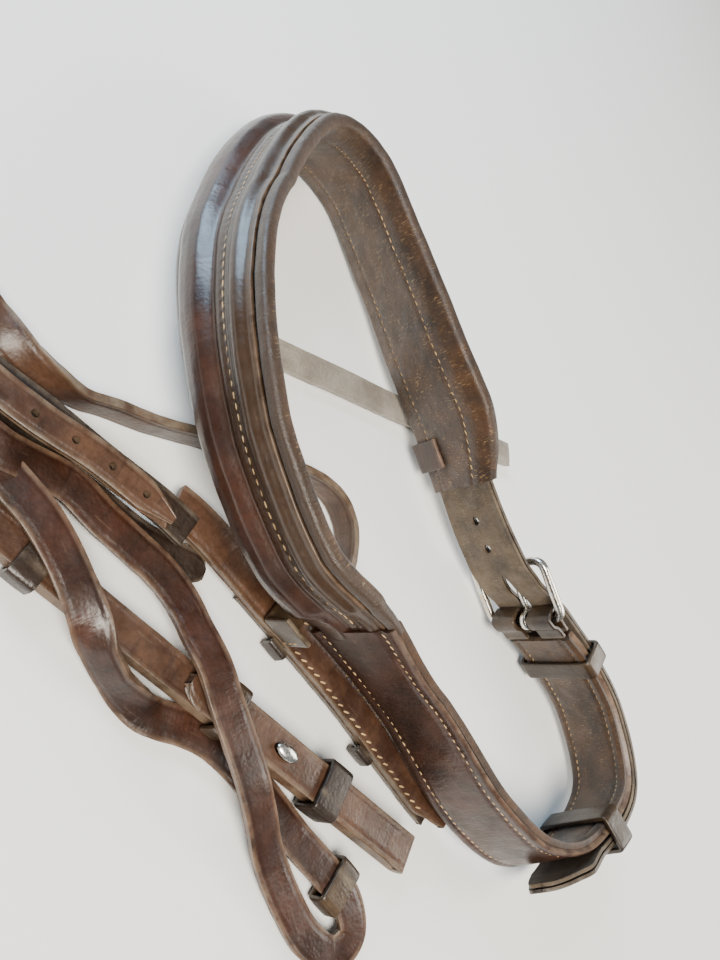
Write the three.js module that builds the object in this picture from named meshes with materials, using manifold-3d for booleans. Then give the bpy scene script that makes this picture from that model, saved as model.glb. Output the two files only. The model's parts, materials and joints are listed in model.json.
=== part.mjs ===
// Padded leather noseband with its sliphead and the headpiece straps it lies with.
// Millimetres, +Z up. The noseband stands on its lower rim; every other strap lies on the same table.
import * as THREE from 'three';
import Module from 'manifold-3d';
import { mergeVertices } from 'three/addons/utils/BufferGeometryUtils.js';

// ---- Driving dimensions ------------------------------------------------------------------------
const NOSE_WIDTH = 36; // raised, padded nosepiece
const STRAP_WIDTH = 24; // chin strap and its billet
const LEATHER = 2.6; // a single cheek, throat or sliphead strap
const GAP = 0.4; // clear space between neighbouring layers
const SLIPHEAD_WIDTH = 9;
const CHEEK_WIDTH = 10;
const THROAT_WIDTH = 9.2;
const CROWN_WIDTH = 34;
const HOLE_RADIUS = 1.6; // punched billet holes
const BUCKLE_BAR = 2.6; // square-section wire of the noseband buckle
const BUCKLE_INSIDE = 25.2; // clear width between the buckle's side bars

// ---- Ring stations: whole numbers are the control points of RING, counted round the noseband ----
const STATION = {
  tailTip: 9.1, runner: 10.3, keeper: 12.95, chinEnd: 13.5, chapeBar: 13.8, farBar: 14.56,
  seam: 15.6, offHanger: 16.02, nearHanger: 6.02, noseEnd: 26.3, chinStart: 6.33,
};

// Lower rim of the noseband, [x, y, z, lean]: lean is the tilt of the rim-to-rim line, outward positive.
const RING = [
  [-108, 13.5, 1, -19], [-109, -4, 1.5, -19], [-80, -40.5, 5.9, -15], [-49.5, -55.5, 9.7, -2],
  [-17, -59.5, 10.2, 6], [12, -55.5, 9.8, 9], [26.5, -47.5, 9, 7], [62.5, -29.5, 7.4, -4],
  [99.5, -18, 6.8, -10], [124, -0.5, 5, -13], [135.5, 26, 2.8, -13], [129.5, 53.5, 2.8, -12],
  [104, 59, 2.8, -7], [80, 50.5, 3.6, -3], [56.5, 36.5, 4.6, -3], [29.5, 31, 5.2, -8],
  [0, 29.5, 5.8, -13], [-30.5, 28, 4.6, -15], [-63, 29, 2.3, -17], [-94, 26, 0.9, -18],
];

// Straps that lie on the table, [x, y, z, roll]: roll 0 lies flat, roll 90 stands on edge.
const SLIPHEAD_NEAR = [
  [-76, -106.5, 6.5, 0], [-59, -101, 6.7, 0], [-48, -95.5, 6.6, 50], [-38.5, -86.2, 4.8, 90],
  [-34.5, -78.7, 4.8, 90], [-29, -69.5, 4.8, 90], [-22.5, -56, 4.8, 90], [-15.5, -42, 4.8, 90],
  [-9, -30.5, 4.8, 90], [-3, -22, 4.8, 90], [3.5, -17.3, 4.8, 90], [11.3, -16.6, 4.8, 90],
  [17.5, -19, 4.8, 90], [22.8, -23, 4.8, 90], [27, -29, 4.8, 90], [29.5, -36, 4.8, 90],
];
const SLIPHEAD_OFF = [
  [8.5, 79.5, 1.6, 0], [-4.5, 53.5, 1.6, 0], [-18, 27, 1.6, 0], [-31.5, 2.5, 1.6, 0],
  [-44.7, -22.2, 1.7, 0], [-49, -32, 3, 30], [-47.5, -40, 4.6, 70], [-40, -46, 5.1, 90],
  [-30.5, -48.5, 5.1, 90], [-23.5, -45.5, 5.1, 90], [-18.9, -38.6, 5.1, 90], [-14.2, -30, 5.1, 90],
];
const NEAR_CHEEK = [
  [-20, -81, 4.6, 0], [-4.4, -67, 4.6, 0], [21.6, -53, 4.6, 0], [54.6, -37.2, 4.6, 0],
  [92, -22, 4.6, 0], [104, -16.5, 4.6, 0],
];
const NEAR_BILLET = [
  [-72, -119.2, 9.3, 0], [-58, -114, 9.3, 0], [-46, -108.5, 9.8, 0], [-34.6, -100.3, 10.6, 0],
  [-22.8, -89.2, 10.6, 0], [-10.5, -80.1, 10.6, 0], [-4.4, -76.3, 10.6, 0],
];
const LONG_BILLET = [
  [-74, -118.5, 6.3, 0], [-57, -112.5, 6.3, 0], [-46.4, -105.8, 6.9, 0], [-34, -95.9, 7.5, 0],
  [-21.6, -86.5, 7.5, 0], [-8.3, -75.8, 7.5, 0], [-0.7, -70.9, 7.5, 0],
];
const OFF_BILLET = [
  [-72, -129.5, 6.3, 0], [-58, -124.6, 6.4, 0], [-50, -120.5, 6, 0], [-43, -114.6, 3.6, 0],
  [-33, -105, 1.6, 0], [-20, -93.5, 1.6, 0], [-4, -81.5, 1.6, 0], [4, -73.5, 1.6, 0], [10, -66.5, 1.6, 0],
];
const THROAT_STRAP = [
  [-70, -128.8, 9.4, 0], [-54, -124, 10.2, 0], [-41, -118, 11.4, 0], [-30, -110.8, 11, 0],
  [-25, -102.2, 6, 0], [-19.2, -94.8, 4.6, 0], [-9.2, -89.6, 4.8, 0], [-1, -84.4, 4.8, 0],
  [6.2, -80, 4.8, 0], [14.5, -77.4, 5.6, 0], [22.5, -77.8, 8.6, 0], [31, -78, 11.6, 0],
  [40, -78.6, 12.4, 0], [49, -78.6, 12.4, 0], [60.5, -78, 11.4, 0], [70, -76.8, 8, 0],
  [79, -75.8, 4.4, 0], [94, -73.4, 1.8, 0], [105, -70.8, 1.8, 0], [112, -65.6, 2.2, 0],
  [110.5, -59, 3.2, 0], [102.5, -57.6, 3.6, 0], [92, -61.4, 3.6, 0], [81.5, -65.4, 2.4, 0],
  [71, -68.8, 1.4, 0], [58.3, -74, 1.4, 0], [48, -80, 1.4, 0], [42.3, -85.4, 1.4, 0],
  [37.5, -91.2, 1.6, 0], [31.5, -95.8, 4, -45], [25.5, -98.8, 5.4, -65], [18, -100.8, 6.6, -60],
  [10.5, -101.8, 8.4, -20], [2, -102.8, 9.3, 0], [-6, -103.8, 9.4, 0], [-14, -105.6, 9.2, 0],
  [-21, -108, 8.2, 0], [-28, -111, 7.4, 0], [-35, -115, 7.2, 0],
];
const CROWN = [
  [-56, -114, 0, 0], [-76, -120.5, 0, 0], [-98, -127, 0, 0], [-122, -130, 0, 0], [-146, -126, 0, 0],
  [-166, -114, 0, 0],
];

const wasm = await Module();
wasm.setup();

// ---- Materials ---------------------------------------------------------------------------------
const LEATHERS = { havana: 0x4a2a1e, oak: 0x6d4a35, dark: 0x2e211b, lining: 0x5a3d25, olive: 0x6b5a42 };

function leather(shade) {
  return new THREE.MeshStandardMaterial({ color: LEATHERS[shade], roughness: 0.55, metalness: 0 });
}

function metal() {
  return new THREE.MeshStandardMaterial({ color: 0xc9c4b4, roughness: 0.25, metalness: 1 });
}

// ---- Routes and sweeps ---------------------------------------------------------------------------
/** A strap's line through space with the roll of its width at every station. */
class StrapRoute {
  constructor(points, { closed = false, uprightRoll = 0 } = {}) {
    this.count = closed ? points.length : points.length - 1;
    this.closed = closed;
    this.curve = new THREE.CatmullRomCurve3(points.map(([x, y, z]) => new THREE.Vector3(x, y, z)), closed);
    this.rolls = points.map((point) => THREE.MathUtils.degToRad(point[3] + uprightRoll));
  }

  rollAt(station) {
    const low = Math.floor(station);
    const pick = (index) => this.rolls[this.closed ? index % this.count : Math.min(index, this.count)];
    return THREE.MathUtils.lerp(pick(low), pick(low + 1), station - low);
  }

  /** Basis at a station: x across the width, y out of the face, z along the strap. */
  frameAt(station) {
    const turn = this.closed ? (station % this.count) / this.count : station / this.count;
    const along = this.curve.getTangent(turn);
    const flatAcross = new THREE.Vector3(0, 0, 1).cross(along).normalize();
    const across = flatAcross.applyAxisAngle(along, this.rollAt(station));
    const face = along.clone().cross(across);
    return new THREE.Matrix4().makeBasis(across, face, along).setPosition(this.curve.getPoint(turn));
  }
}

const ring = new StrapRoute(RING, { closed: true, uprightRoll: 90 });

/** A straight extrusion of a flat outline, along z from the origin. */
function extrude(shape, depth, curveSegments = 1) {
  return new THREE.ExtrudeGeometry(shape, { depth, steps: 1, curveSegments, bevelEnabled: false });
}

/** Sweeps an outline [across, out] between two stations; shape(station) may scale or shift it. */
function sweep(route, outline, from, to, steps, shape = () => ({})) {
  const section = new THREE.Shape(outline.map(([across, out]) => new THREE.Vector2(across, out)));
  const geometry = new THREE.ExtrudeGeometry(section, { depth: 1, steps, bevelEnabled: false });
  const vertices = geometry.attributes.position;
  const point = new THREE.Vector3();
  for (let i = 0; i < vertices.count; i += 1) {
    point.fromBufferAttribute(vertices, i);
    const station = THREE.MathUtils.lerp(from, to, point.z);
    const { width = 1, rise = 1, offset = 0 } = shape(station);
    const local = new THREE.Vector3(point.x * width, point.y * rise + offset, 0);
    local.applyMatrix4(route.frameAt(station));
    vertices.setXYZ(i, local.x, local.y, local.z);
  }
  return geometry;
}

function bandOutline(width, bottom, top) {
  return [[0, bottom], [width, bottom], [width, top], [0, top]];
}

/** A flat strap along a route; pointed tips narrow over the given number of stations. */
function flatStrap(points, width, { steps = 40, tipStart = 0, tipEnd = 0, thickness = LEATHER } = {}) {
  const route = new StrapRoute(points);
  const half = width / 2;
  const rise = thickness / 2;
  const outline = [[-half, -rise], [half, -rise], [half, rise], [-half, rise]];
  return sweep(route, outline, 0, route.count, steps, (station) => {
    const fromStart = tipStart > 0 ? Math.min(1, station / tipStart) : 1;
    const fromEnd = tipEnd > 0 ? Math.min(1, (route.count - station) / tipEnd) : 1;
    return { width: 0.35 + 0.65 * Math.sqrt(Math.min(fromStart, fromEnd)) };
  });
}

// ---- Solids with cuts ------------------------------------------------------------------------------
function toManifold(geometry) {
  const bare = geometry.clone();
  for (const name of Object.keys(bare.attributes)) {
    if (name !== 'position') bare.deleteAttribute(name);
  }
  const merged = mergeVertices(bare, 1e-4);
  return new wasm.Manifold(new wasm.Mesh({
    numProp: 3,
    vertProperties: new Float32Array(merged.attributes.position.array),
    triVerts: new Uint32Array(merged.index.array),
  }));
}

function fromManifold(solid) {
  const mesh = solid.getMesh();
  const geometry = new THREE.BufferGeometry();
  geometry.setAttribute('position', new THREE.BufferAttribute(new Float32Array(mesh.vertProperties), 3));
  geometry.setIndex(new THREE.BufferAttribute(new Uint32Array(mesh.triVerts), 1));
  return geometry;
}

function cutAway(geometry, cutters) {
  let solid = toManifold(geometry);
  for (const cutter of cutters) solid = solid.subtract(toManifold(cutter));
  return fromManifold(solid);
}

// ---- Noseband ----------------------------------------------------------------------------------
const PANEL_OUTLINE = [
  [0, 1.2], [2.5, 1.8], [5, 4.5], [9, 6.8], [15, 7], [19.5, 4.6], [21.5, 3.2], [24, 4.4], [28, 4.8],
  [31.8, 2.6], [31.8, -1.2], [30.2, -1.2], [30.2, 1], [27, 2.2], [19, 2.2], [15, 5], [9, 5],
  [4.6, 2.2], [2.6, 0.9], [2.6, -1.2], [0, -1.2],
];
const PADDING_OUTLINE = [
  [3, -0.7], [29.5, -0.7], [29.5, 0.7], [26.8, 1.8], [18.6, 1.8], [14.8, 4.6], [9.2, 4.6], [5, 1.8],
  [3, 0.6],
];
const LINING_OUTLINE = [
  [0, -3.6], [35, -3.6], [36, -2.6], [36, 1.5], [35, 2.5], [32.9, 2.5], [32.9, -2], [0, -2],
];

/** Width of the noseband relative to the nosepiece: it narrows to the strap at both ends. */
function ringWidth(station) {
  const lap = station < 10.5 ? station + RING.length : station;
  const narrow = STRAP_WIDTH / NOSE_WIDTH;
  const rising = THREE.MathUtils.smoothstep(lap, 15.3, 16.4);
  const falling = 1 - THREE.MathUtils.smoothstep(lap, 25.8, 26.95);
  return narrow + (1 - narrow) * Math.min(rising, falling);
}

/** Height of the raised dome, which fades towards both ends of the nosepiece. */
function domeRise(station) {
  const rising = THREE.MathUtils.smoothstep(station, STATION.seam, STATION.seam + 0.7);
  const falling = 1 - THREE.MathUtils.smoothstep(station, STATION.noseEnd - 0.6, STATION.noseEnd);
  return 0.35 + 0.65 * Math.min(rising, falling);
}

const nosePanel = () => sweep(ring, PANEL_OUTLINE, STATION.seam, STATION.noseEnd, 60,
  (station) => ({ width: ringWidth(station), rise: domeRise(station) }));
const nosePadding = () => sweep(ring, PADDING_OUTLINE, STATION.seam, STATION.noseEnd, 60,
  (station) => ({ width: ringWidth(station), rise: domeRise(station) }));
const noseLining = () => sweep(ring, LINING_OUTLINE, STATION.seam, STATION.noseEnd, 60,
  (station) => ({ width: ringWidth(station) }));

function chinLayer(bottom, top) {
  return sweep(ring, bandOutline(NOSE_WIDTH, bottom, top), STATION.chinStart, STATION.chinEnd, 30,
    (station) => ({ width: ringWidth(station) }));
}

/** How far outside the chin strap the billet lies, from its tip round to the seam. */
const BILLET_LIFT = [
  [9.1, 9.5], [9.5, 7.2], [9.9, 4.4], [10.6, 4.1], [12.7, 4.2], [13.2, 4.8], [13.7, 5.8], [14, 4.6],
  [14.3, 2], [14.6, 0.3], [15, 0], [15.6, 0],
];

function billetLift(station) {
  const next = BILLET_LIFT.findIndex(([at]) => at >= station);
  if (next <= 0) return BILLET_LIFT[Math.max(next, 0)][1];
  const [a, liftA] = BILLET_LIFT[next - 1];
  const [b, liftB] = BILLET_LIFT[next];
  return THREE.MathUtils.lerp(liftA, liftB, THREE.MathUtils.smoothstep(station, a, b) * 0.5
    + (station - a) / (b - a) * 0.5);
}

function ringPunch(station, radius, length, stretch = 1) {
  const punch = new THREE.CylinderGeometry(radius, radius, length, 12);
  punch.scale(1, 1, stretch);
  punch.translate(STRAP_WIDTH / 2, billetLift(station), 0);
  return punch.applyMatrix4(ring.frameAt(station));
}

function billetLayer(bottom, top) {
  const inset = 0.6;
  const outline = [[inset, bottom], [STRAP_WIDTH - inset, bottom], [STRAP_WIDTH - inset, top], [inset, top]];
  const band = sweep(ring, outline, STATION.tailTip, STATION.seam - 0.02, 42, (station) => {
    const tip = Math.min(1, (station - STATION.tailTip) / 0.5);
    return { offset: billetLift(station), width: 0.4 + 0.6 * Math.sqrt(tip) };
  });
  const holes = [15.2, 14.85, 12.3, 11.7].map((station) => ringPunch(station, HOLE_RADIUS, 12));
  return cutAway(band, [...holes, ringPunch(14.1, 2.3, 14, 4.6)]);
}

/** A closed loop round the strap: inner box [low, high] across and out, wall and length. */
function loopGeometry(across, out, wall, length) {
  const box = (grow) => [
    [across[0] - grow, out[0] - grow], [across[1] + grow, out[0] - grow],
    [across[1] + grow, out[1] + grow], [across[0] - grow, out[1] + grow],
  ].map(([x, y]) => new THREE.Vector2(x, y));
  const shape = new THREE.Shape(box(wall));
  shape.holes.push(new THREE.Path(box(0)));
  return extrude(shape, length).translate(0, 0, -length / 2);
}

/** A U-shaped leather wrap under the lower rim: inner leg, sole and outer leg. */
function hangerGeometry(outerFace, outerHeight) {
  const wall = 1.4;
  const inner = -4;
  const sole = -0.5;
  const outline = [
    [11, inner], [11, inner - wall], [sole - wall, inner - wall], [sole - wall, outerFace + wall],
    [outerHeight, outerFace + wall], [outerHeight, outerFace], [sole, outerFace], [sole, inner],
  ];
  const shape = new THREE.Shape(outline.map(([x, y]) => new THREE.Vector2(x, y)));
  const length = 10;
  return extrude(shape, length).translate(0, 0, -length / 2);
}

// ---- Noseband buckle ---------------------------------------------------------------------------
/** Basis at the buckle's hinge bar: x across, y out, z towards the far bar. */
function buckleFrame() {
  const hinge = new THREE.Vector3(STRAP_WIDTH / 2, 0.05, 0).applyMatrix4(ring.frameAt(STATION.chapeBar));
  const far = new THREE.Vector3(STRAP_WIDTH / 2, 4.2, 0).applyMatrix4(ring.frameAt(STATION.farBar));
  const along = far.clone().sub(hinge);
  const reach = along.length();
  along.normalize();
  const across = new THREE.Vector3().setFromMatrixColumn(ring.frameAt(STATION.chapeBar), 0);
  const face = along.clone().cross(across).normalize();
  across.crossVectors(face, along);
  return { basis: new THREE.Matrix4().makeBasis(across, face, along).setPosition(hinge), reach };
}

/** A flat rectangular frame lying in x and z, hinge bar through the origin. */
function frameGeometry(inside, reach, bar) {
  const halfBar = bar / 2;
  const rectangle = (grow) => [
    [-inside / 2 - grow, halfBar - grow], [inside / 2 + grow, halfBar - grow],
    [inside / 2 + grow, reach - halfBar + grow], [-inside / 2 - grow, reach - halfBar + grow],
  ].map(([x, y]) => new THREE.Vector2(x, y));
  const shape = new THREE.Shape(rectangle(bar));
  shape.holes.push(new THREE.Path(rectangle(0)));
  const geometry = extrude(shape, bar);
  geometry.translate(0, 0, -halfBar);
  return geometry.rotateX(Math.PI / 2);
}

/** A tongue whose eye rides on the hinge bar and whose point rests on the far bar. */
function tongueGeometry(reach, bar, width) {
  const eyeHole = bar * 0.72 + 0.25;
  const eye = eyeHole + 1.1;
  const shape = new THREE.Shape();
  const rodTop = bar / 2 + 2.1;
  const rodLow = bar / 2 + 0.4;
  shape.absarc(0, 0, eye, Math.PI * 0.42, Math.PI * 2.04, false);
  shape.lineTo(reach * 0.45, 0.6);
  shape.lineTo(reach - bar, rodLow);
  shape.lineTo(reach + bar * 0.9, rodLow);
  shape.lineTo(reach + bar * 0.9, rodTop - 0.3);
  shape.lineTo(reach - bar, rodTop);
  shape.lineTo(reach * 0.4, 2.3);
  const eyePath = new THREE.Path();
  eyePath.absarc(0, 0, eyeHole, 0, Math.PI * 2, true);
  shape.holes.push(eyePath);
  const geometry = extrude(shape, width, 8);
  geometry.translate(0, 0, -width / 2);
  // The outline's x is along the tongue and its y is out of the face.
  return geometry.applyMatrix4(new THREE.Matrix4().makeBasis(
    new THREE.Vector3(0, 0, 1), new THREE.Vector3(0, 1, 0), new THREE.Vector3(-1, 0, 0)));
}

/** The strap end folded round the hinge bar, slotted for the tongue. */
function chapeGeometry(width, bar, tailLength, depth) {
  const hole = bar * 0.72 + 0.35;
  const roll = hole + 1.7;
  const shape = new THREE.Shape();
  const meet = Math.asin(Math.min(1, depth / 2 / roll));
  shape.absarc(0, 0, roll, -Math.PI + meet, Math.PI - meet, false);
  shape.lineTo(-tailLength, depth / 2);
  shape.lineTo(-tailLength, -depth / 2);
  const holePath = new THREE.Path();
  holePath.absarc(0, 0, hole, 0, Math.PI * 2, true);
  shape.holes.push(holePath);
  const fold = extrude(shape, width, 8);
  fold.translate(0, 0, -width / 2);
  const slot = new THREE.BoxGeometry(roll + 5, roll * 3, 5.2).translate((roll + 5) / 2 - 4.6, 0, 0);
  const cut = cutAway(fold, [slot]);
  return cut.applyMatrix4(new THREE.Matrix4().makeBasis(
    new THREE.Vector3(0, 0, 1), new THREE.Vector3(0, 1, 0), new THREE.Vector3(-1, 0, 0)));
}

// ---- Off cheekpiece: a strap folded back on itself, with its hook stud and loops ------------------
const OFF_CHEEK_END = new THREE.Vector3(102.9, -35.4, 0);
const OFF_CHEEK_ANGLE = THREE.MathUtils.degToRad(33.5);
const OFF_CHEEK_LENGTH = 176; // fold to buckle end of the lower leaf
const OFF_CHEEK_RETURN = 84; // fold to tip of the returned leaf
const OFF_CHEEK_FLOOR = 3; // underside of the lower leaf, which rests on the throat strap
const STUD_AT = 53; // hook stud, from the fold

/** Basis on the table at a distance back from the fold: x towards the fold, y across, z up. */
function offCheekPlace(distance, height = 0) {
  const turn = new THREE.Matrix4().makeRotationZ(OFF_CHEEK_ANGLE);
  const reach = new THREE.Vector3(-distance, 0, height).applyMatrix4(turn).add(OFF_CHEEK_END);
  return turn.setPosition(reach);
}

function offCheekGeometry() {
  const top = OFF_CHEEK_FLOOR + 2 * LEATHER + GAP;
  const middle = OFF_CHEEK_FLOOR + LEATHER + GAP / 2;
  const shape = new THREE.Shape();
  shape.moveTo(-OFF_CHEEK_LENGTH, OFF_CHEEK_FLOOR);
  shape.lineTo(-3, OFF_CHEEK_FLOOR);
  shape.absarc(-3, middle, LEATHER + GAP / 2, -Math.PI / 2, Math.PI / 2, false);
  shape.lineTo(-OFF_CHEEK_RETURN, top);
  shape.lineTo(-OFF_CHEEK_RETURN - 1.5, top - LEATHER * 0.7);
  shape.lineTo(-OFF_CHEEK_RETURN, top - LEATHER);
  shape.lineTo(-4, top - LEATHER);
  shape.lineTo(-4, OFF_CHEEK_FLOOR + LEATHER);
  shape.lineTo(-OFF_CHEEK_LENGTH, OFF_CHEEK_FLOOR + LEATHER);
  const strap = extrude(shape, CHEEK_WIDTH, 6);
  strap.translate(0, 0, -CHEEK_WIDTH / 2);
  strap.rotateX(Math.PI / 2);
  const keyhole = new THREE.CylinderGeometry(1.6, 1.6, LEATHER + 0.4, 12);
  keyhole.rotateX(Math.PI / 2).scale(2.4, 1, 1);
  keyhole.translate(-STUD_AT, 0, top - LEATHER / 2);
  return cutAway(strap, [keyhole]);
}

function studGeometry() {
  const foot = OFF_CHEEK_FLOOR + LEATHER + 0.1;
  const brow = OFF_CHEEK_FLOOR + 2 * LEATHER + GAP;
  const profile = [[0, foot], [1.1, foot], [1.1, brow + 0.3], [1.6, brow + 0.4], [2, brow + 1.2],
    [1.5, brow + 2], [0, brow + 2.3]].map(([radius, height]) => new THREE.Vector2(radius, height));
  const stud = new THREE.LatheGeometry(profile, 14);
  stud.rotateX(Math.PI / 2);
  return stud.scale(1.9, 1, 1);
}

/** A loop round a strap lying on the table, with its wall, length and the strap stack's height. */
function tableLoop(width, floor, height, wall, length) {
  const side = width / 2 + 0.5;
  const loop = loopGeometry([-side, side], [floor - GAP, floor + height + GAP], wall, length);
  // The loop's length runs along x, its width along y and its height along z.
  return loop.applyMatrix4(new THREE.Matrix4().makeBasis(
    new THREE.Vector3(0, 1, 0), new THREE.Vector3(0, 0, 1), new THREE.Vector3(1, 0, 0)));
}

/** A keeper sewn to the strap's two edges: two legs and a bridge over the leaves. */
function tableKeeper(width, floor, height, wall, length) {
  const side = width / 2 + 0.4;
  const brow = floor + height + GAP;
  const outline = [
    [-side, floor], [-side, brow], [side, brow], [side, floor],
    [side + wall, floor], [side + wall, brow + wall], [-side - wall, brow + wall], [-side - wall, floor],
  ];
  const shape = new THREE.Shape(outline.map(([x, y]) => new THREE.Vector2(x, y)));
  const keeper = extrude(shape, length);
  keeper.translate(0, 0, -length / 2);
  return keeper.applyMatrix4(new THREE.Matrix4().makeBasis(
    new THREE.Vector3(0, 1, 0), new THREE.Vector3(0, 0, 1), new THREE.Vector3(1, 0, 0)));
}

/** Basis on the table under a route's station, x along the strap. */
function tablePlace(points, station) {
  const route = new StrapRoute(points);
  const frame = route.frameAt(station);
  const along = new THREE.Vector3().setFromMatrixColumn(frame, 2).setZ(0).normalize();
  const up = new THREE.Vector3(0, 0, 1);
  const centre = new THREE.Vector3().setFromMatrixPosition(frame);
  return new THREE.Matrix4().makeBasis(along, up.clone().cross(along), up).setPosition(centre);
}

/** A small half-round loop end that shows beside the near cheekpiece. */
function cheekLoopGeometry() {
  const shape = new THREE.Shape();
  shape.moveTo(-3.2, 0);
  shape.lineTo(3.2, 0);
  shape.lineTo(2.6, -2.2);
  shape.lineTo(-2.6, -2.2);
  return extrude(shape, 4.8).translate(0, 0, 0.3);
}

function crownLayer(bottom, thickness, margin) {
  const raised = CROWN.map(([x, y]) => [x, y, bottom + thickness / 2, 0]);
  return flatStrap(raised, CROWN_WIDTH - margin, { steps: 16, thickness });
}

// ---- Assembly ----------------------------------------------------------------------------------
const bridle = new THREE.Group();

function addNode(name, geometry, material, place = null) {
  const mesh = new THREE.Mesh(geometry, material);
  mesh.name = name;
  if (place) mesh.applyMatrix4(place);
  bridle.add(mesh);
}

addNode('nose_panel', nosePanel(), leather('havana'));
addNode('nose_padding', nosePadding(), leather('oak'));
addNode('nose_lining', noseLining(), leather('lining'));
addNode('near_hanger', hangerGeometry(7.6, 9), leather('olive'), ring.frameAt(STATION.nearHanger));
addNode('off_hanger', hangerGeometry(6.6, 9), leather('olive'), ring.frameAt(STATION.offHanger));
addNode('chin_strap', chinLayer(0.15, 2.3), leather('havana'));
addNode('chin_lining', chinLayer(-2.3, -0.2), leather('lining'));
addNode('billet', billetLayer(0.15, 1.3), leather('dark'));
addNode('billet_lining', billetLayer(-1.3, -0.2), leather('lining'));

const buckle = buckleFrame();
const chapePlace = ring.frameAt(STATION.chapeBar);
chapePlace.multiply(new THREE.Matrix4().makeTranslation(STRAP_WIDTH / 2, 0.05, 0));
addNode('buckle_frame', frameGeometry(BUCKLE_INSIDE, buckle.reach, BUCKLE_BAR), metal(), buckle.basis);
addNode('buckle_tongue', tongueGeometry(buckle.reach, BUCKLE_BAR, 2.4), metal(), buckle.basis);
addNode('buckle_chape', chapeGeometry(STRAP_WIDTH - 0.8, BUCKLE_BAR, 7, 4.4), leather('olive'), chapePlace);
addNode('buckle_keeper', loopGeometry([-0.5, 24.5], [-2.7, 6.2], 1.4, 7), leather('olive'),
  ring.frameAt(STATION.keeper));
addNode('chin_runner', loopGeometry([-0.7, 24.7], [-3.1, 6.6], 1.5, 8), leather('olive'),
  ring.frameAt(STATION.runner));

addNode('sliphead_near', flatStrap(SLIPHEAD_NEAR, SLIPHEAD_WIDTH, { steps: 48 }), leather('oak'));
addNode('sliphead_off', flatStrap(SLIPHEAD_OFF, 9.5, { steps: 44 }), leather('olive'));

addNode('near_cheek_strap', flatStrap(NEAR_CHEEK, 11, { steps: 20, tipEnd: 0.25 }), leather('havana'));
const backing = [[17, -55.2], [54.6, -37.2], [92, -22], [99, -18.8]].map(([x, y]) => [x, y, 1.6, 0]);
addNode('near_cheek_backing', flatStrap(backing, 10, { steps: 14 }), leather('dark'));
const cheekLoops = { near_cheek_upper_loop: [35, -52.8], near_cheek_lower_loop: [72.5, -36.2] };
for (const [name, [x, y]] of Object.entries(cheekLoops)) {
  const place = new THREE.Matrix4().makeRotationZ(THREE.MathUtils.degToRad(24)).setPosition(x, y, 0);
  addNode(name, cheekLoopGeometry(), leather('dark'), place);
}

addNode('near_billet', flatStrap(NEAR_BILLET, 8, { steps: 26, tipEnd: 0.6 }), leather('oak'));
addNode('long_billet', flatStrap(LONG_BILLET, 9, { steps: 26 }), leather('dark'));
addNode('off_billet', flatStrap(OFF_BILLET, 9, { steps: 30, tipEnd: 0.6 }), leather('dark'));
addNode('throat_strap', flatStrap(THROAT_STRAP, THROAT_WIDTH, { steps: 100, tipEnd: 0.6 }),
  leather('havana'));
addNode('throat_runner', tableLoop(THROAT_WIDTH, 2.2, LEATHER, 1.4, 7), leather('olive'),
  tablePlace(THROAT_STRAP.map(([x, y]) => [x, y, 0, 0]), 21.5));
addNode('crown_lining', crownLayer(0.3, 2, 1), leather('lining'));
addNode('crown_strap', crownLayer(2.7, 2, 0), leather('havana'));

addNode('off_cheek_strap', offCheekGeometry(), leather('olive'), offCheekPlace(0));
addNode('hook_stud', studGeometry(), metal(), offCheekPlace(STUD_AT));
const double = 2 * LEATHER + GAP;
addNode('off_cheek_runner', tableLoop(CHEEK_WIDTH, OFF_CHEEK_FLOOR, double, 1.4, 8), leather('dark'),
  offCheekPlace(35));
addNode('off_cheek_keeper', tableKeeper(CHEEK_WIDTH, OFF_CHEEK_FLOOR, double, 1.2, 5), leather('olive'),
  offCheekPlace(72));
addNode('off_cheek_upper_runner', tableLoop(CHEEK_WIDTH, OFF_CHEEK_FLOOR, LEATHER, 1.4, 7), leather('dark'),
  offCheekPlace(130));

// The object's origin is the middle of its footprint on the table.
const extent = new THREE.Box3().setFromObject(bridle);
const middle = extent.getCenter(new THREE.Vector3());
bridle.position.set(-middle.x, -middle.y, -extent.min.z);

export default bridle;
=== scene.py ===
"""Finished leather, thread and metal for a padded noseband and the bridle straps that lie with it.

Every strap is cut flat from a sheet, shaped and stitched while it is straight, and then bent along
the line that the strap takes. Sizes are millimetres in the fields of each class and become metres in
the meshes. The flat strap's x runs along its length, y across it and z out of its face.
"""

import json
import logging
import math
from collections.abc import Callable
from dataclasses import dataclass, field
from enum import Enum

import bpy
import numpy as np
from mathutils import Matrix, Vector


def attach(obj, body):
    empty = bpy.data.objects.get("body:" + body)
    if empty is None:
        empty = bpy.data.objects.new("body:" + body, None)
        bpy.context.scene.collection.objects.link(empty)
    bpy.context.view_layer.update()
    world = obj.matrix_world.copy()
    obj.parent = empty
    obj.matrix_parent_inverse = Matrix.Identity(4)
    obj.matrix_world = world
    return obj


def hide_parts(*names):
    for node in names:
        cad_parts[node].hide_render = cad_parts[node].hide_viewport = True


LOG = logging.getLogger("bridle")
MM = 0.001
Spot = tuple[float, float, float, float]
Colour = tuple[float, float, float]
Array = np.ndarray
Shaper = Callable[[Array, Array], tuple[Array, Array, Array]]

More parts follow.
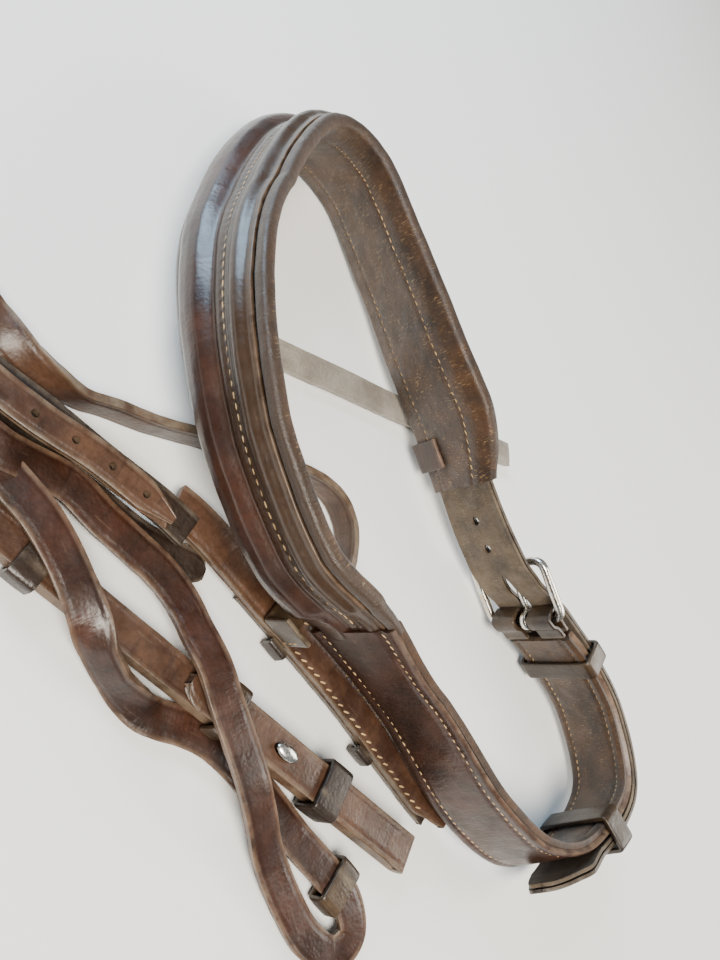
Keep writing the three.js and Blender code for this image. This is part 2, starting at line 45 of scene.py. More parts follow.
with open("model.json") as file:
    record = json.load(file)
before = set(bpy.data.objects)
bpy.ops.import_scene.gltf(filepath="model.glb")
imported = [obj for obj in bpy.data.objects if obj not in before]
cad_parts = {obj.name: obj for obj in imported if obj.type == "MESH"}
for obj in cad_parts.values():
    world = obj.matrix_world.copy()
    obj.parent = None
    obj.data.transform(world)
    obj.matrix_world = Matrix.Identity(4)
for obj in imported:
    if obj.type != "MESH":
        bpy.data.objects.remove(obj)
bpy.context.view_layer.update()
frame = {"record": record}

# ---- Lines that the straps take: x, y, height and roll of the width in degrees --------------------
NOSEBAND_LINE: list[Spot] = [
    (-108, 13.5, 1, -19), (-109, -4, 1.5, -19), (-80, -40.5, 5.9, -15), (-49.5, -55.5, 9.7, -2),
    (-17, -59.5, 10.2, 6), (12, -55.5, 9.8, 9), (26.5, -47.5, 9, 7), (62.5, -29.5, 7.4, -4),
    (99.5, -18, 6.8, -10), (124, -0.5, 5, -13), (135.5, 26, 2.8, -13), (129.5, 53.5, 2.8, -12),
    (104, 59, 2.8, -7), (80, 50.5, 3.6, -3), (56.5, 36.5, 4.6, -3), (29.5, 31, 5.2, -8),
    (0, 29.5, 5.8, -13), (-30.5, 28, 4.6, -15), (-63, 29, 2.3, -17), (-94, 26, 0.9, -18),
]
NEAR_SLIPHEAD_LINE: list[Spot] = [
    (-76, -106.5, 6.5, 0), (-59, -101, 6.7, 0), (-48, -95.5, 6.6, 50), (-38.5, -86.2, 4.8, 90),
    (-34.5, -78.7, 4.8, 90), (-29, -69.5, 4.8, 90), (-22.5, -56, 4.8, 90), (-15.5, -42, 4.8, 90),
    (-9, -30.5, 4.8, 90), (-3, -22, 4.8, 90), (3.5, -17.3, 4.8, 90), (11.3, -16.6, 4.8, 90),
    (17.5, -19, 4.8, 90), (22.8, -23, 4.8, 90), (27, -29, 4.8, 90), (29.5, -36, 4.8, 90),
]
OFF_SLIPHEAD_LINE: list[Spot] = [
    (8.5, 79.5, 1.6, 0), (-4.5, 53.5, 1.6, 0), (-18, 27, 1.6, 0), (-31.5, 2.5, 1.6, 0),
    (-44.7, -22.2, 1.7, 0), (-49, -32, 3, 30), (-47.5, -40, 4.6, 70), (-40, -46, 5.1, 90),
    (-30.5, -48.5, 5.1, 90), (-23.5, -45.5, 5.1, 90), (-18.9, -38.6, 5.1, 90), (-14.2, -30, 5.1, 90),
]
NEAR_CHEEK_LINE: list[Spot] = [
    (-20, -81, 4.6, 0), (-4.4, -67, 4.6, 0), (21.6, -53, 4.6, 0), (54.6, -37.2, 4.6, 0),
    (92, -22, 4.6, 0), (104, -16.5, 4.6, 0),
]
CHEEK_BACKING_LINE: list[Spot] = [
    (17, -55.2, 1.6, 0), (54.6, -37.2, 1.6, 0), (92, -22, 1.6, 0), (99, -18.8, 1.6, 0),
]
NEAR_BILLET_LINE: list[Spot] = [
    (-72, -119.2, 9.3, 0), (-58, -114, 9.3, 0), (-46, -108.5, 9.8, 0), (-34.6, -100.3, 10.6, 0),
    (-22.8, -89.2, 10.6, 0), (-10.5, -80.1, 10.6, 0), (-4.4, -76.3, 10.6, 0),
]
LONG_BILLET_LINE: list[Spot] = [
    (-74, -118.5, 6.3, 0), (-57, -112.5, 6.3, 0), (-46.4, -105.8, 6.9, 0), (-34, -95.9, 7.5, 0),
    (-21.6, -86.5, 7.5, 0), (-8.3, -75.8, 7.5, 0), (-0.7, -70.9, 7.5, 0),
]
OFF_BILLET_LINE: list[Spot] = [
    (-72, -129.5, 6.3, 0), (-58, -124.6, 6.4, 0), (-50, -120.5, 6, 0), (-43, -114.6, 3.6, 0),
    (-33, -105, 1.6, 0), (-20, -93.5, 1.6, 0), (-4, -81.5, 1.6, 0), (4, -73.5, 1.6, 0),
    (10, -66.5, 1.6, 0),
]
THROAT_LINE: list[Spot] = [
    (-70, -128.8, 9.4, 0), (-54, -124, 10.2, 0), (-41, -118, 11.4, 0), (-30, -110.8, 11, 0),
    (-25, -102.2, 6, 0), (-19.2, -94.8, 4.6, 0), (-9.2, -89.6, 4.8, 0), (-1, -84.4, 4.8, 0),
    (6.2, -80, 4.8, 0), (14.5, -77.4, 5.6, 0), (22.5, -77.8, 8.6, 0), (31, -78, 11.6, 0),
    (40, -78.6, 12.4, 0), (49, -78.6, 12.4, 0), (60.5, -78, 11.4, 0), (70, -76.8, 8, 0),
    (79, -75.8, 4.4, 0), (94, -73.4, 1.8, 0), (105, -70.8, 1.8, 0), (112, -65.6, 2.2, 0),
    (110.5, -59, 3.2, 0), (102.5, -57.6, 3.6, 0), (92, -61.4, 3.6, 0), (81.5, -65.4, 2.4, 0),
    (71, -68.8, 1.4, 0), (58.3, -74, 1.4, 0), (48, -80, 1.4, 0), (42.3, -85.4, 1.4, 0),
    (37.5, -91.2, 1.6, 0), (31.5, -95.8, 4, -45), (25.5, -98.8, 5.4, -65), (18, -100.8, 6.6, -60),
    (10.5, -101.8, 8.4, -20), (2, -102.8, 9.3, 0), (-6, -103.8, 9.4, 0), (-14, -105.6, 9.2, 0),
    (-21, -108, 8.2, 0), (-28, -111, 7.4, 0), (-35, -115, 7.2, 0),
]
CROWN_LINE: list[Spot] = [
    (-56, -114, 0, 0), (-76, -120.5, 0, 0), (-98, -127, 0, 0), (-122, -130, 0, 0), (-146, -126, 0, 0),
    (-166, -114, 0, 0),
]


def frame_shift() -> Vector:
    """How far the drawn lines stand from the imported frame, from a face that both know."""
    poll = next(m for m in frame["record"]["mounts"] if m["name"] == "poll_face")
    drawn = Vector(CROWN_LINE[3][:3]) + Vector((0, 0, 0.3))
    return Vector(poll["pos_m"]) - drawn * MM


SHIFT = frame_shift()


class Line:
    """The line a strap takes, with the roll of its width at every station."""

    def __init__(self, spots: list[Spot], closed: bool = False, upright: float = 0.0) -> None:
        """Keeps the spots.

        Args:
            spots: x, y, height and roll, in millimetres and degrees.
            closed: whether the line runs back to its start.
            upright: added to every roll, in degrees.
        """
        self.points = [Vector(spot[:3]) for spot in spots]
        self.rolls = [math.radians(spot[3] + upright) for spot in spots]
        self.closed = closed
        self.count = len(spots) if closed else len(spots) - 1

    def _neighbours(self, low: int) -> tuple[Vector, Vector, Vector, Vector]:
        """The four spots that shape the span after spot low."""
        points, many = self.points, len(self.points)
        if self.closed:
            return tuple(points[(low + step) % many] for step in (-1, 0, 1, 2))
        before = points[low - 1] if low > 0 else points[0] * 2 - points[1]
        after = points[low + 2] if low + 2 < many else points[-1] * 2 - points[-2]
        return before, points[low], points[low + 1], after

    def point(self, station: float) -> Vector:
        """The line's place at a station, by a centripetal spline.

        Args:
            station: counted in spots from the start.

        Returns:
            The place in millimetres, as drawn.
        """
        low = math.floor(station)
        if not self.closed:
            low = max(0, min(low, self.count - 1))
        weight = station - low
        p0, p1, p2, p3 = self._neighbours(low)
        d0, d1, d2 = (math.sqrt((b - a).length) for a, b in ((p0, p1), (p1, p2), (p2, p3)))
        leave = ((p1 - p0) / d0 - (p2 - p0) / (d0 + d1) + (p2 - p1) / d1) * d1
        arrive = ((p2 - p1) / d1 - (p3 - p1) / (d1 + d2) + (p3 - p2) / d2) * d1
        bow = (p2 - p1) * 3 - leave * 2 - arrive
        close = (p1 - p2) * 2 + leave + arrive
        return p1 + leave * weight + bow * weight ** 2 + close * weight ** 3

    def roll(self, station: float) -> float:
        """The roll of the width at a station, in radians."""
        low = math.floor(station)
        pick = [self.rolls[i % self.count if self.closed else min(i, self.count)] for i in (low, low + 1)]
        return pick[0] + (pick[1] - pick[0]) * (station - low)

    def place(self, station: float) -> Matrix:
        """The strap's own axes at a station, x along, y across and z out of the face, in metres."""
        reach = 1e-4 * self.count
        ends = [station - reach, station + reach]
        if not self.closed:
            ends = [max(0.0, ends[0]), min(float(self.count), ends[1])]
        along = (self.point(ends[1]) - self.point(ends[0])).normalized()
        across = Vector((0, 0, 1)).cross(along).normalized()
        across.rotate(Matrix.Rotation(self.roll(station), 3, along))
        face = along.cross(across)
        axes = Matrix((along, across, face)).transposed().to_4x4()
        axes.translation = self.point(station) * MM + SHIFT
        return axes


class Bend:
    """A former that flat work is bent over: one stretch of a line."""

    def __init__(self, line: Line, start: float = 0.0, stop: float | None = None) -> None:
        """Samples the stretch and makes the former.

        Args:
            line: the whole line.
            start: first station.
            stop: last station, the line's end if left out.
        """
        self.line = line
        stop = float(line.count) if stop is None else stop
        many = max(24, int(abs(stop - start) * 26))
        self.stations = np.linspace(start, stop, many + 1)
        places = [line.place(float(s)).translation for s in self.stations]
        steps = [(b - a).length for a, b in zip(places, places[1:])]
        self.lengths = np.concatenate(([0.0], np.cumsum(steps)))
        self.length = float(self.lengths[-1])
        curve = bpy.data.curves.new("former", "CURVE")
        curve.dimensions = "3D"
        curve.twist_mode = "Z_UP"
        curve.use_deform_bounds = False
        spline = curve.splines.new("POLY")
        spline.points.add(many)
        for spot, place, station in zip(spline.points, places, self.stations):
            spot.co = (*place, 1)
            spot.tilt = line.roll(float(station))
        self.former = bpy.data.objects.new("former", curve)
        bpy.context.scene.collection.objects.link(self.former)

    def reach(self, station: float) -> float:
        """The length along the strap, in metres, at a station."""
        return float(np.interp(station, self.stations, self.lengths))

    def station(self, lengths: Array) -> Array:
        """The stations at lengths along the strap, in metres."""
        return np.interp(lengths, self.lengths, self.stations)

    def bend(self, *pieces: bpy.types.Object) -> None:
        """Bends flat pieces over the former."""
        for piece in pieces:
            modifier = piece.modifiers.new("bend", "CURVE")
            modifier.object = self.former
            modifier.deform_axis = "POS_X"
            apply_modifiers(piece)

    def done(self) -> None:
        """Takes the former away."""
        curve = self.former.data
        bpy.data.objects.remove(self.former)
        bpy.data.curves.remove(curve)


# ---- Bench work ---------------------------------------------------------------------------------
def pick(*pieces: bpy.types.Object) -> None:
    """Selects only these pieces and makes the first one active."""
    bpy.ops.object.select_all(action="DESELECT")
    for piece in pieces:
        piece.select_set(True)
    bpy.context.view_layer.objects.active = pieces[0]


def apply_modifiers(piece: bpy.types.Object) -> None:
    """Applies all of a piece's modifiers in order."""
    pick(piece)
    for modifier in list(piece.modifiers):
        bpy.ops.object.modifier_apply(modifier=modifier.name)


def named(piece: bpy.types.Object, name: str) -> bpy.types.Object:
    """Names a piece and its mesh."""
    piece.name = name
    piece.data.name = name
    return piece


def join(name: str, pieces: list[bpy.types.Object]) -> bpy.types.Object:
    """Joins pieces into the first one."""
    pick(*pieces)
    if len(pieces) > 1:
        bpy.ops.object.join()
    return named(pieces[0], name)


def vertices(piece: bpy.types.Object) -> Array:
    """A piece's vertex places as rows."""
    rows = np.empty(len(piece.data.vertices) * 3)
    piece.data.vertices.foreach_get("co", rows)
    return rows.reshape(-1, 3)


def move_vertices(piece: bpy.types.Object, rows: Array) -> None:
    """Puts a piece's vertices at new places."""
    piece.data.vertices.foreach_set("co", np.ascontiguousarray(rows, dtype=np.float64).ravel())
    piece.data.update()


def put(piece: bpy.types.Object, place: Matrix) -> bpy.types.Object:
    """Stands a piece at a place and leaves that place in its mesh."""
    piece.matrix_world = place
    pick(piece)
    bpy.ops.object.transform_apply(location=True, rotation=True, scale=True)
    return piece


def smooth(piece: bpy.types.Object, degrees: float = 50.0) -> bpy.types.Object:
    """Shades a piece smooth up to an angle."""
    pick(piece)
    bpy.ops.object.shade_smooth_by_angle(angle=math.radians(degrees))
    return piece


def finish_with(piece: bpy.types.Object, *materials: bpy.types.Material) -> bpy.types.Object:
    """Gives a piece its finishes: face, back and cut edge, as many as it has."""
    piece.data.materials.clear()
    for material in materials:
        piece.data.materials.append(material)
    return piece


def sheet(name: str, rows: int, columns: int, shaper: Shaper, wall: float, *,
          edge: float = 0.5, closed: bool = False) -> bpy.types.Object:
    """Cuts a sheet of leather, shapes its outer face and gives it thickness and rounded edges.

    Args:
        name: the piece's name.
        rows: divisions along it.
        columns: divisions across it.
        shaper: turns shares along and across (0 to 1) into x, y and z in metres.
        wall: leather thickness in millimetres, measured in from the shaped face.
        edge: radius of the rounded cut edge in millimetres.
        closed: whether the two long edges meet, as in a loop.

    Returns:
        The piece, still straight, with face, back and edge as materials 0, 1 and 2.
    """
    bpy.ops.object.select_all(action="DESELECT")
    bpy.ops.mesh.primitive_grid_add(x_subdivisions=rows, y_subdivisions=columns, size=1.0)
    piece = named(bpy.context.object, name)
    flat = vertices(piece)
    share_along, share_across = flat[:, 0] + 0.5, flat[:, 1] + 0.5
    shaped = np.column_stack(shaper(share_along, share_across))
    _measure(piece, shaped, rows, columns)
    move_vertices(piece, shaped)
    for _ in range(3):
        piece.data.materials.append(None)
    if closed:
        pick(piece)
        bpy.ops.object.mode_set(mode="EDIT")
        bpy.ops.mesh.select_all(action="SELECT")
        bpy.ops.mesh.remove_doubles(threshold=2e-5)
        bpy.ops.object.mode_set(mode="OBJECT")
    thick = piece.modifiers.new("thickness", "SOLIDIFY")
    thick.thickness = wall * MM
    thick.offset = -1
    thick.material_offset = 1
    thick.material_offset_rim = 2
    rounded = piece.modifiers.new("edge", "BEVEL")
    rounded.limit_method = "ANGLE"
    rounded.angle_limit = math.radians(60)
    rounded.width = edge * MM
    rounded.segments = 3
    apply_modifiers(piece)
    return piece


def _measure(piece: bpy.types.Object, shaped: Array, rows: int, columns: int) -> None:
    """Writes two UV maps on a sheet: metres along and across it, and metres from its edges and ends."""
    order = np.lexsort((vertices(piece)[:, 0], vertices(piece)[:, 1]))
    grid = shaped[order].reshape(columns + 1, rows + 1, 3)
    across = np.linalg.norm(np.diff(grid, axis=0), axis=2).mean(axis=1)
    along = np.linalg.norm(np.diff(grid, axis=1), axis=2).mean(axis=0)
    girth = np.concatenate(([0.0], np.cumsum(across)))
    run = np.concatenate(([0.0], np.cumsum(along)))
    metres = np.empty((len(order), 4))
    lay = np.indices((columns + 1, rows + 1)).reshape(2, -1)
    metres[order, 0], metres[order, 1] = run[lay[1]], girth[lay[0]]
    metres[order, 2] = np.minimum(girth[lay[0]], girth[-1] - girth[lay[0]])
    metres[order, 3] = np.minimum(run[lay[1]], run[-1] - run[lay[1]])
    corners = np.empty(len(piece.data.loops), dtype=np.int32)
    piece.data.loops.foreach_get("vertex_index", corners)
    while piece.data.uv_layers:
        piece.data.uv_layers.remove(piece.data.uv_layers[0])
    for title, first in (("strap", 0), ("rim", 2)):
        layer = piece.data.uv_layers.new(name=title)
        layer.data.foreach_set("uv", metres[corners, first:first + 2].ravel())


def drill(piece: bpy.types.Object, places: list[Matrix], radius: float, depth: float,
          stretch: float = 1.0) -> None:
    """Punches holes straight through a flat piece.

    Args:
        piece: the flat work.
        places: each hole's middle and direction.
        radius: hole radius in millimetres.
        depth: length of the punch in millimetres.
        stretch: how much longer than wide the hole is.
    """
    for place in places:
        bpy.ops.object.select_all(action="DESELECT")
        bpy.ops.mesh.primitive_cylinder_add(vertices=20, radius=radius * MM, depth=depth * MM)
        punch = put(bpy.context.object, place @ Matrix.Diagonal((stretch, 1, 1, 1)))
        cut = piece.modifiers.new("hole", "BOOLEAN")
        cut.operation = "DIFFERENCE"
        cut.object = punch
        cut.solver = "EXACT"
        apply_modifiers(piece)
        bpy.data.objects.remove(punch)


@dataclass(frozen=True)
class Thread:
    """One kind of sewing: how long, thick, far apart and slanted its stitches are."""

    pitch: float = 2.5
    long: float = 1.75
    thick: float = 0.44
    slant: float = 0.0

    def sew(self, start: float, stop: float, across: Callable[[Array], Array],
            height: Callable[[Array], Array], lie: float = 1.0) -> bpy.types.Object:
        """Sews one straight row.

        Args:
            start: where it begins along the strap, in metres.
            stop: where it ends.
            across: the row's place across the strap, in metres, at lengths along it.
            height: the leather's height there, in metres.
            lie: 1 on the outer face and -1 on the back.

        Returns:
            The row, still straight.
        """
        bpy.ops.object.select_all(action="DESELECT")
        bpy.ops.mesh.primitive_uv_sphere_add(segments=8, ring_count=6, radius=0.5 * MM,
                                             rotation=(0, math.pi / 2, 0))
        row = bpy.context.object
        bpy.ops.object.transform_apply(location=True, rotation=True, scale=True)
        row.scale = (self.long, self.thick, self.thick)
        bpy.ops.object.transform_apply(location=True, rotation=True, scale=True)
        row.rotation_euler = (0, 0, math.radians(self.slant))
        bpy.ops.object.transform_apply(location=True, rotation=True, scale=True)
        many = max(1, int((stop - start) / (self.pitch * MM)))
        repeat = row.modifiers.new("row", "ARRAY")
        repeat.use_relative_offset = False
        repeat.use_constant_offset = True
        repeat.constant_offset_displace = (self.pitch * MM, 0, 0)
        repeat.count = many
        apply_modifiers(row)
        rows = vertices(row)
        which = np.round(rows[:, 0] / (self.pitch * MM))
        middle = start + which * self.pitch * MM
        rows[:, 0] += start + 0.12 * MM * np.sin(which * 12.9)
        rows[:, 1] += across(middle) + 0.1 * MM * np.sin(which * 7.3)
        rows[:, 2] = height(middle) + lie * (0.02 * MM + rows[:, 2] * (0.8 + 0.15 * np.sin(which * 3.1)))
        move_vertices(row, rows)
        return row


LEATHER_THREAD = Thread()
COARSE_THREAD = Thread(pitch=2.9, long=2.2, thick=0.62, slant=28.0)


def steady(value: float) -> Callable[[Array], Array]:
    """A height or place, in millimetres, that stays the same all along a strap."""
    return lambda lengths: np.full_like(lengths, value * MM)


def ease(values: Array | float, low: float, high: float) -> Array:
    """Rises smoothly from 0 at low to 1 at high."""
    share = np.clip((np.asarray(values, dtype=float) - low) / (high - low), 0.0, 1.0)
    return share * share * (3 - 2 * share)


def hump(values: Array, low: float, high: float, fullness: float = 2.4) -> Array:
    """A rounded ridge from low to high, 1 in its middle and flatter the fuller it is."""
    share = np.clip((values - low) / (high - low) * 2 - 1, -1.0, 1.0)
    return (1 - np.abs(share) ** fullness) ** (1 / fullness)


def folded(corners: list[tuple[float, float]], radius: float,
           closed: bool = False) -> Callable[[Array], tuple[Array, Array]]:
    """A path through corners, in millimetres, with each corner rounded.

    Args:
        corners: across and out, in order.
        radius: how far from each corner its rounding begins.
        closed: whether the path runs back to its start.

    Returns:
        A rule that turns shares of the path's length into places across and out, in metres.
    """
    many = len(corners)
    spots = [Vector((*corner, 0)) for corner in corners]
    path: list[Vector] = []
    for index in range(many):
        if not closed and index in (0, many - 1):
            path.append(spots[index])
            continue
        before, here, after = spots[index - 1], spots[index], spots[(index + 1) % many]
        enter = here + (before - here).normalized() * min(radius, (before - here).length / 2)
        leave = here + (after - here).normalized() * min(radius, (after - here).length / 2)
        for step in range(9):
            share = step / 8
            path.append(enter * (1 - share) ** 2 + here * 2 * share * (1 - share) + leave * share ** 2)
    if closed:
        path.append(path[0])
    rows = np.array([(p.x, p.y) for p in path]) * MM
    run = np.concatenate(([0.0], np.cumsum(np.linalg.norm(np.diff(rows, axis=0), axis=1))))
    run /= run[-1]
    return lambda shares: (np.interp(shares, run, rows[:, 0]), np.interp(shares, run, rows[:, 1]))


def band(name: str, path: Callable[[Array], tuple[Array, Array]], middle: float, length: float,
         wall: float, *, closed: bool = False, columns: int = 56, edge: float = 0.4) -> bpy.types.Object:
    """A short band of leather folded to a path: a loop, a keeper or a wrap.

    Args:
        name: the piece's name.
        path: where its outer face runs, across and out.
        middle: where its middle stands along the strap, in metres.
        length: its length along the strap, in millimetres.
        wall: leather thickness in millimetres.
        closed: whether it is a whole loop.
        columns: divisions along the path.
        edge: radius of its rounded edges in millimetres.

    Returns:
        The band, still straight.
    """
    def shaper(along: Array, across: Array) -> tuple[Array, Array, Array]:
        side, out = path(across)
        bulge = 0.12 * MM * np.sin(along * math.pi)
        spread = np.hypot(side - side.mean(), out - out.mean()) + 1e-9
        side = side + bulge * (side - side.mean()) / spread
        out = out + bulge * (out - out.mean()) / spread
        return middle + (along - 0.5) * length * MM, side, out
    return sheet(name, 8, columns, shaper, wall, edge=edge, closed=closed)


def loop_path(across: tuple[float, float], out: tuple[float, float], wall: float,
              radius: float) -> Callable[[Array], tuple[Array, Array]]:
    """The outer face of a closed loop round an inner box across and out, in millimetres."""
    low, high = across[0] - wall, across[1] + wall
    sole, brow = out[0] - wall, out[1] + wall
    middle = (low + high) / 2
    return folded([(middle, brow), (high, brow), (high, sole), (low, sole), (low, brow)], radius, closed=True)


# ---- Finishes -----------------------------------------------------------------------------------
class Mixture:
    """The nodes of one finish."""

    def __init__(self, name: str) -> None:
        """Starts a material with one shader."""
        self.material = bpy.data.materials.new(name)
        self.material.use_nodes = True
        self.tree = self.material.node_tree
        self.tree.nodes.clear()
        self.shader = self.node("ShaderNodeBsdfPrincipled")
        output = self.node("ShaderNodeOutputMaterial")
        self.tree.links.new(self.shader.outputs["BSDF"], output.inputs["Surface"])
        self.object_place = self.node("ShaderNodeTexCoord").outputs["Object"]

    def node(self, kind: str, inputs: dict | None = None, **settings: object) -> bpy.types.Node:
        """Adds a node.

        Args:
            kind: the node's type.
            inputs: values or sockets for its inputs, by name or number.
            settings: the node's own properties.

        Returns:
            The node.
        """
        made = self.tree.nodes.new(kind)
        for key, value in settings.items():
            setattr(made, key, value)
        for key, value in (inputs or {}).items():
            if isinstance(value, bpy.types.NodeSocket):
                self.tree.links.new(value, made.inputs[key])
            else:
                made.inputs[key].default_value = value
        return made

    def noise(self, scale: float, detail: float = 4.0, place: bpy.types.NodeSocket | None = None,
              rough: float = 0.55) -> bpy.types.NodeSocket:
        """Cloudy variation, scale counted per metre."""
        made = self.node("ShaderNodeTexNoise", {"Vector": place or self.object_place, "Scale": scale,
                                                "Detail": detail, "Roughness": rough})
        return made.outputs["Fac"]

    def stretched(self, along: float, across: float) -> bpy.types.NodeSocket:
        """A place on the strap, scaled along and across."""
        lay = self.node("ShaderNodeUVMap", uv_map="strap").outputs["UV"]
        return self.node("ShaderNodeMapping", {"Vector": lay, "Scale": (along, across, 1)}).outputs["Vector"]

    def from_rim(self, reach: float) -> bpy.types.NodeSocket:
        """1 at the strap's long edges, falling to 0 at a reach from them, in millimetres."""
        rim = self.node("ShaderNodeUVMap", uv_map="rim").outputs["UV"]
        gap = self.node("ShaderNodeSeparateXYZ", {0: rim}).outputs["X"]
        return self.ramp(gap, 0.0, reach * MM, 1.0, 0.0)

    def ramp(self, value: bpy.types.NodeSocket, low: float, high: float, first: float,
             last: float) -> bpy.types.NodeSocket:
        """Maps a value from low..high to first..last."""
        made = self.node("ShaderNodeMapRange", {"Value": value, "From Min": low, "From Max": high,
                                                "To Min": first, "To Max": last}, clamp=True)
        return made.outputs["Result"]

    def blend(self, share: bpy.types.NodeSocket | float, first: object, second: object) -> bpy.types.NodeSocket:
        """Mixes two colours."""
        first = (*first, 1) if isinstance(first, tuple) else first
        second = (*second, 1) if isinstance(second, tuple) else second
        made = self.node("ShaderNodeMix", {0: share, 6: first, 7: second}, data_type="RGBA")
        return made.outputs[2]

    def sum(self, kind: str, first: object, second: object) -> bpy.types.NodeSocket:
        """Adds, multiplies or otherwise combines two values."""
        return self.node("ShaderNodeMath", {0: first, 1: second}, operation=kind).outputs[0]

    def set(self, **inputs: object) -> None:
        """Sets or links the shader's inputs, written with _ for a space."""
        for key, value in inputs.items():
            socket = self.shader.inputs[key.replace("_", " ")]
            if isinstance(value, bpy.types.NodeSocket):
                self.tree.links.new(value, socket)
            else:
                socket.default_value = value

    def relief(self, height: bpy.types.NodeSocket, depth: float, strength: float = 1.0) -> None:
        """Turns a height into relief, with its depth in millimetres, on top of what is there."""
        under = self.shader.inputs["Normal"]
        inputs = {"Height": height, "Distance": depth * MM, "Strength": strength}
        if under.is_linked:
            inputs["Normal"] = under.links[0].from_socket
        self.set(Normal=self.node("ShaderNodeBump", inputs).outputs["Normal"])


@dataclass(frozen=True)
class Leather:
    """A grain side: two tones, worn edges, pebbled grain, creases darkened with painted shade, and polish."""

    name: str
    deep: Colour
    warm: Colour
    worn: Colour
    shine: tuple[float, float] = (0.28, 0.5)
    wear: float = 0.5
    grain: float = 0.09
    crease: float = 0.12
    polish: float = 0.08
    upper: Colour | None = None
    upper_from: float = 22.0

    def make(self) -> bpy.types.Material:
        """Mixes the finish."""
        mix = Mixture(self.name)
        blotch = mix.ramp(mix.noise(70, 5), 0.36, 0.64, 0.0, 1.0)
        fine = mix.noise(620, 6)
        colour = mix.blend(blotch, self.deep, self.warm)
        if self.upper is not None:
            lay = mix.node("ShaderNodeUVMap", uv_map="strap").outputs["UV"]
            height = mix.node("ShaderNodeSeparateXYZ", {0: lay}).outputs["Y"]
            above = mix.ramp(height, (self.upper_from - 3) * MM, (self.upper_from + 3) * MM, 0.0, 0.85)
            colour = mix.blend(above, colour, self.upper)
        shade = mix.ramp(fine, 0.3, 0.7, 0.0, 0.35)
        colour = mix.blend(shade, colour, tuple(0.45 * tone for tone in self.deep))
        # Crease pattern: it raises relief below and darkens the colour along the creases, as painted shade in the
        # creases.
        creases = mix.noise(1.0, 4, mix.stretched(420, 85), 0.6)
        fold = mix.ramp(creases, 0.56, 0.7, 0.0, 1.0)
        colour = mix.blend(mix.sum("MULTIPLY", fold, 0.35), colour, tuple(0.3 * tone for tone in self.deep))
        scuffs = mix.ramp(mix.noise(1.0, 5, mix.stretched(110, 900), 0.7), 0.6, 0.76, 0.0, 0.5)
        colour = mix.blend(mix.sum("MULTIPLY", scuffs, self.wear), colour, self.worn)
        rubbed = mix.sum("MULTIPLY", mix.from_rim(1.5), mix.ramp(mix.noise(240, 4), 0.35, 0.65, 0.15, 1.0))
        colour = mix.blend(mix.sum("MULTIPLY", rubbed, self.wear), colour, self.worn)
        rough = mix.ramp(mix.noise(160, 5), 0.3, 0.7, *self.shine)
        rough = mix.sum("ADD", rough, mix.sum("MULTIPLY", mix.sum("ADD", scuffs, rubbed), 0.18))
        mix.set(Base_Color=colour, Roughness=rough, Coat_Weight=self.polish, Coat_Roughness=0.22)
        cells = mix.node("ShaderNodeTexVoronoi", {"Vector": mix.object_place, "Scale": 1150.0},
                         feature="SMOOTH_F1").outputs["Distance"]
        mix.relief(cells, self.grain, 0.7)
        mix.relief(fine, self.grain * 1.4, 0.6)
        mix.relief(mix.sum("MULTIPLY", creases, -1.0), self.crease * 2, 0.7)
        return mix.material


@dataclass(frozen=True)
class SoftLeather:
    """A brushed, matt side with short raised hairs: a lining or a flesh side."""

    name: str
    deep: Colour
    warm: Colour
    hair: Colour
    hairs: float = 0.5
    shine: tuple[float, float] = (0.5, 0.8)
    nap: float = 0.16
    rolled: Colour | None = None
    roll_girth: float = 8.5

    def make(self) -> bpy.types.Material:
        """Mixes the finish."""
        mix = Mixture(self.name)
        blotch = mix.ramp(mix.noise(95, 6), 0.35, 0.65, 0.0, 1.0)
        colour = mix.blend(blotch, self.deep, self.warm)
        strokes = mix.noise(1.0, 3, mix.stretched(2600, 380), 0.75)
        patch = mix.ramp(mix.noise(180, 4), 0.42, 0.62, 0.1, 1.0)
        if self.rolled is not None:
            lay = mix.node("ShaderNodeUVMap", uv_map="strap").outputs["UV"]
            girth = mix.node("ShaderNodeSeparateXYZ", {0: lay}).outputs["Y"]
            low, high = (self.roll_girth - 1) * MM, (self.roll_girth + 1.5) * MM
            colour = mix.blend(mix.ramp(girth, low, high, 0.9, 0.0), colour, self.rolled)
            patch = mix.sum("MULTIPLY", patch, mix.ramp(girth, low, high, 0.0, 1.0))
        raised = mix.sum("MULTIPLY", mix.ramp(strokes, 0.56, 0.7, 0.0, 1.0), patch)
        colour = mix.blend(mix.sum("MULTIPLY", raised, self.hairs), colour, self.hair)
        fine = mix.noise(1500, 4)
        colour = mix.blend(mix.ramp(fine, 0.35, 0.75, 0.0, 0.4), colour, tuple(0.4 * tone for tone in self.deep))
        mix.set(Base_Color=colour, Roughness=mix.ramp(mix.noise(210, 4), 0.3, 0.7, *self.shine),
                Sheen_Weight=0.12, Sheen_Roughness=0.5)
        mix.relief(fine, self.nap, 0.8)
        mix.relief(strokes, self.nap * 1.2, 0.7)
        mix.relief(mix.noise(300, 3), 0.5, 0.5)
        return mix.material


@dataclass(frozen=True)
class CutEdge:
    """A cut and burnished leather edge with its layers showing."""

    name: str
    deep: Colour
    pale: Colour

    def make(self) -> bpy.types.Material:
        """Mixes the finish."""
        mix = Mixture(self.name)
        fibres = mix.noise(900, 6, rough=0.7)
        patches = mix.ramp(mix.noise(120, 4), 0.38, 0.62, 0.0, 1.0)
        colour = mix.blend(patches, self.deep, self.pale)
        colour = mix.blend(mix.ramp(fibres, 0.35, 0.65, 0.0, 0.5), colour, tuple(0.4 * tone for tone in self.deep))
        mix.set(Base_Color=colour, Roughness=mix.ramp(fibres, 0.3, 0.7, 0.35, 0.7))
        mix.relief(fibres, 0.2, 0.7)
        return mix.material


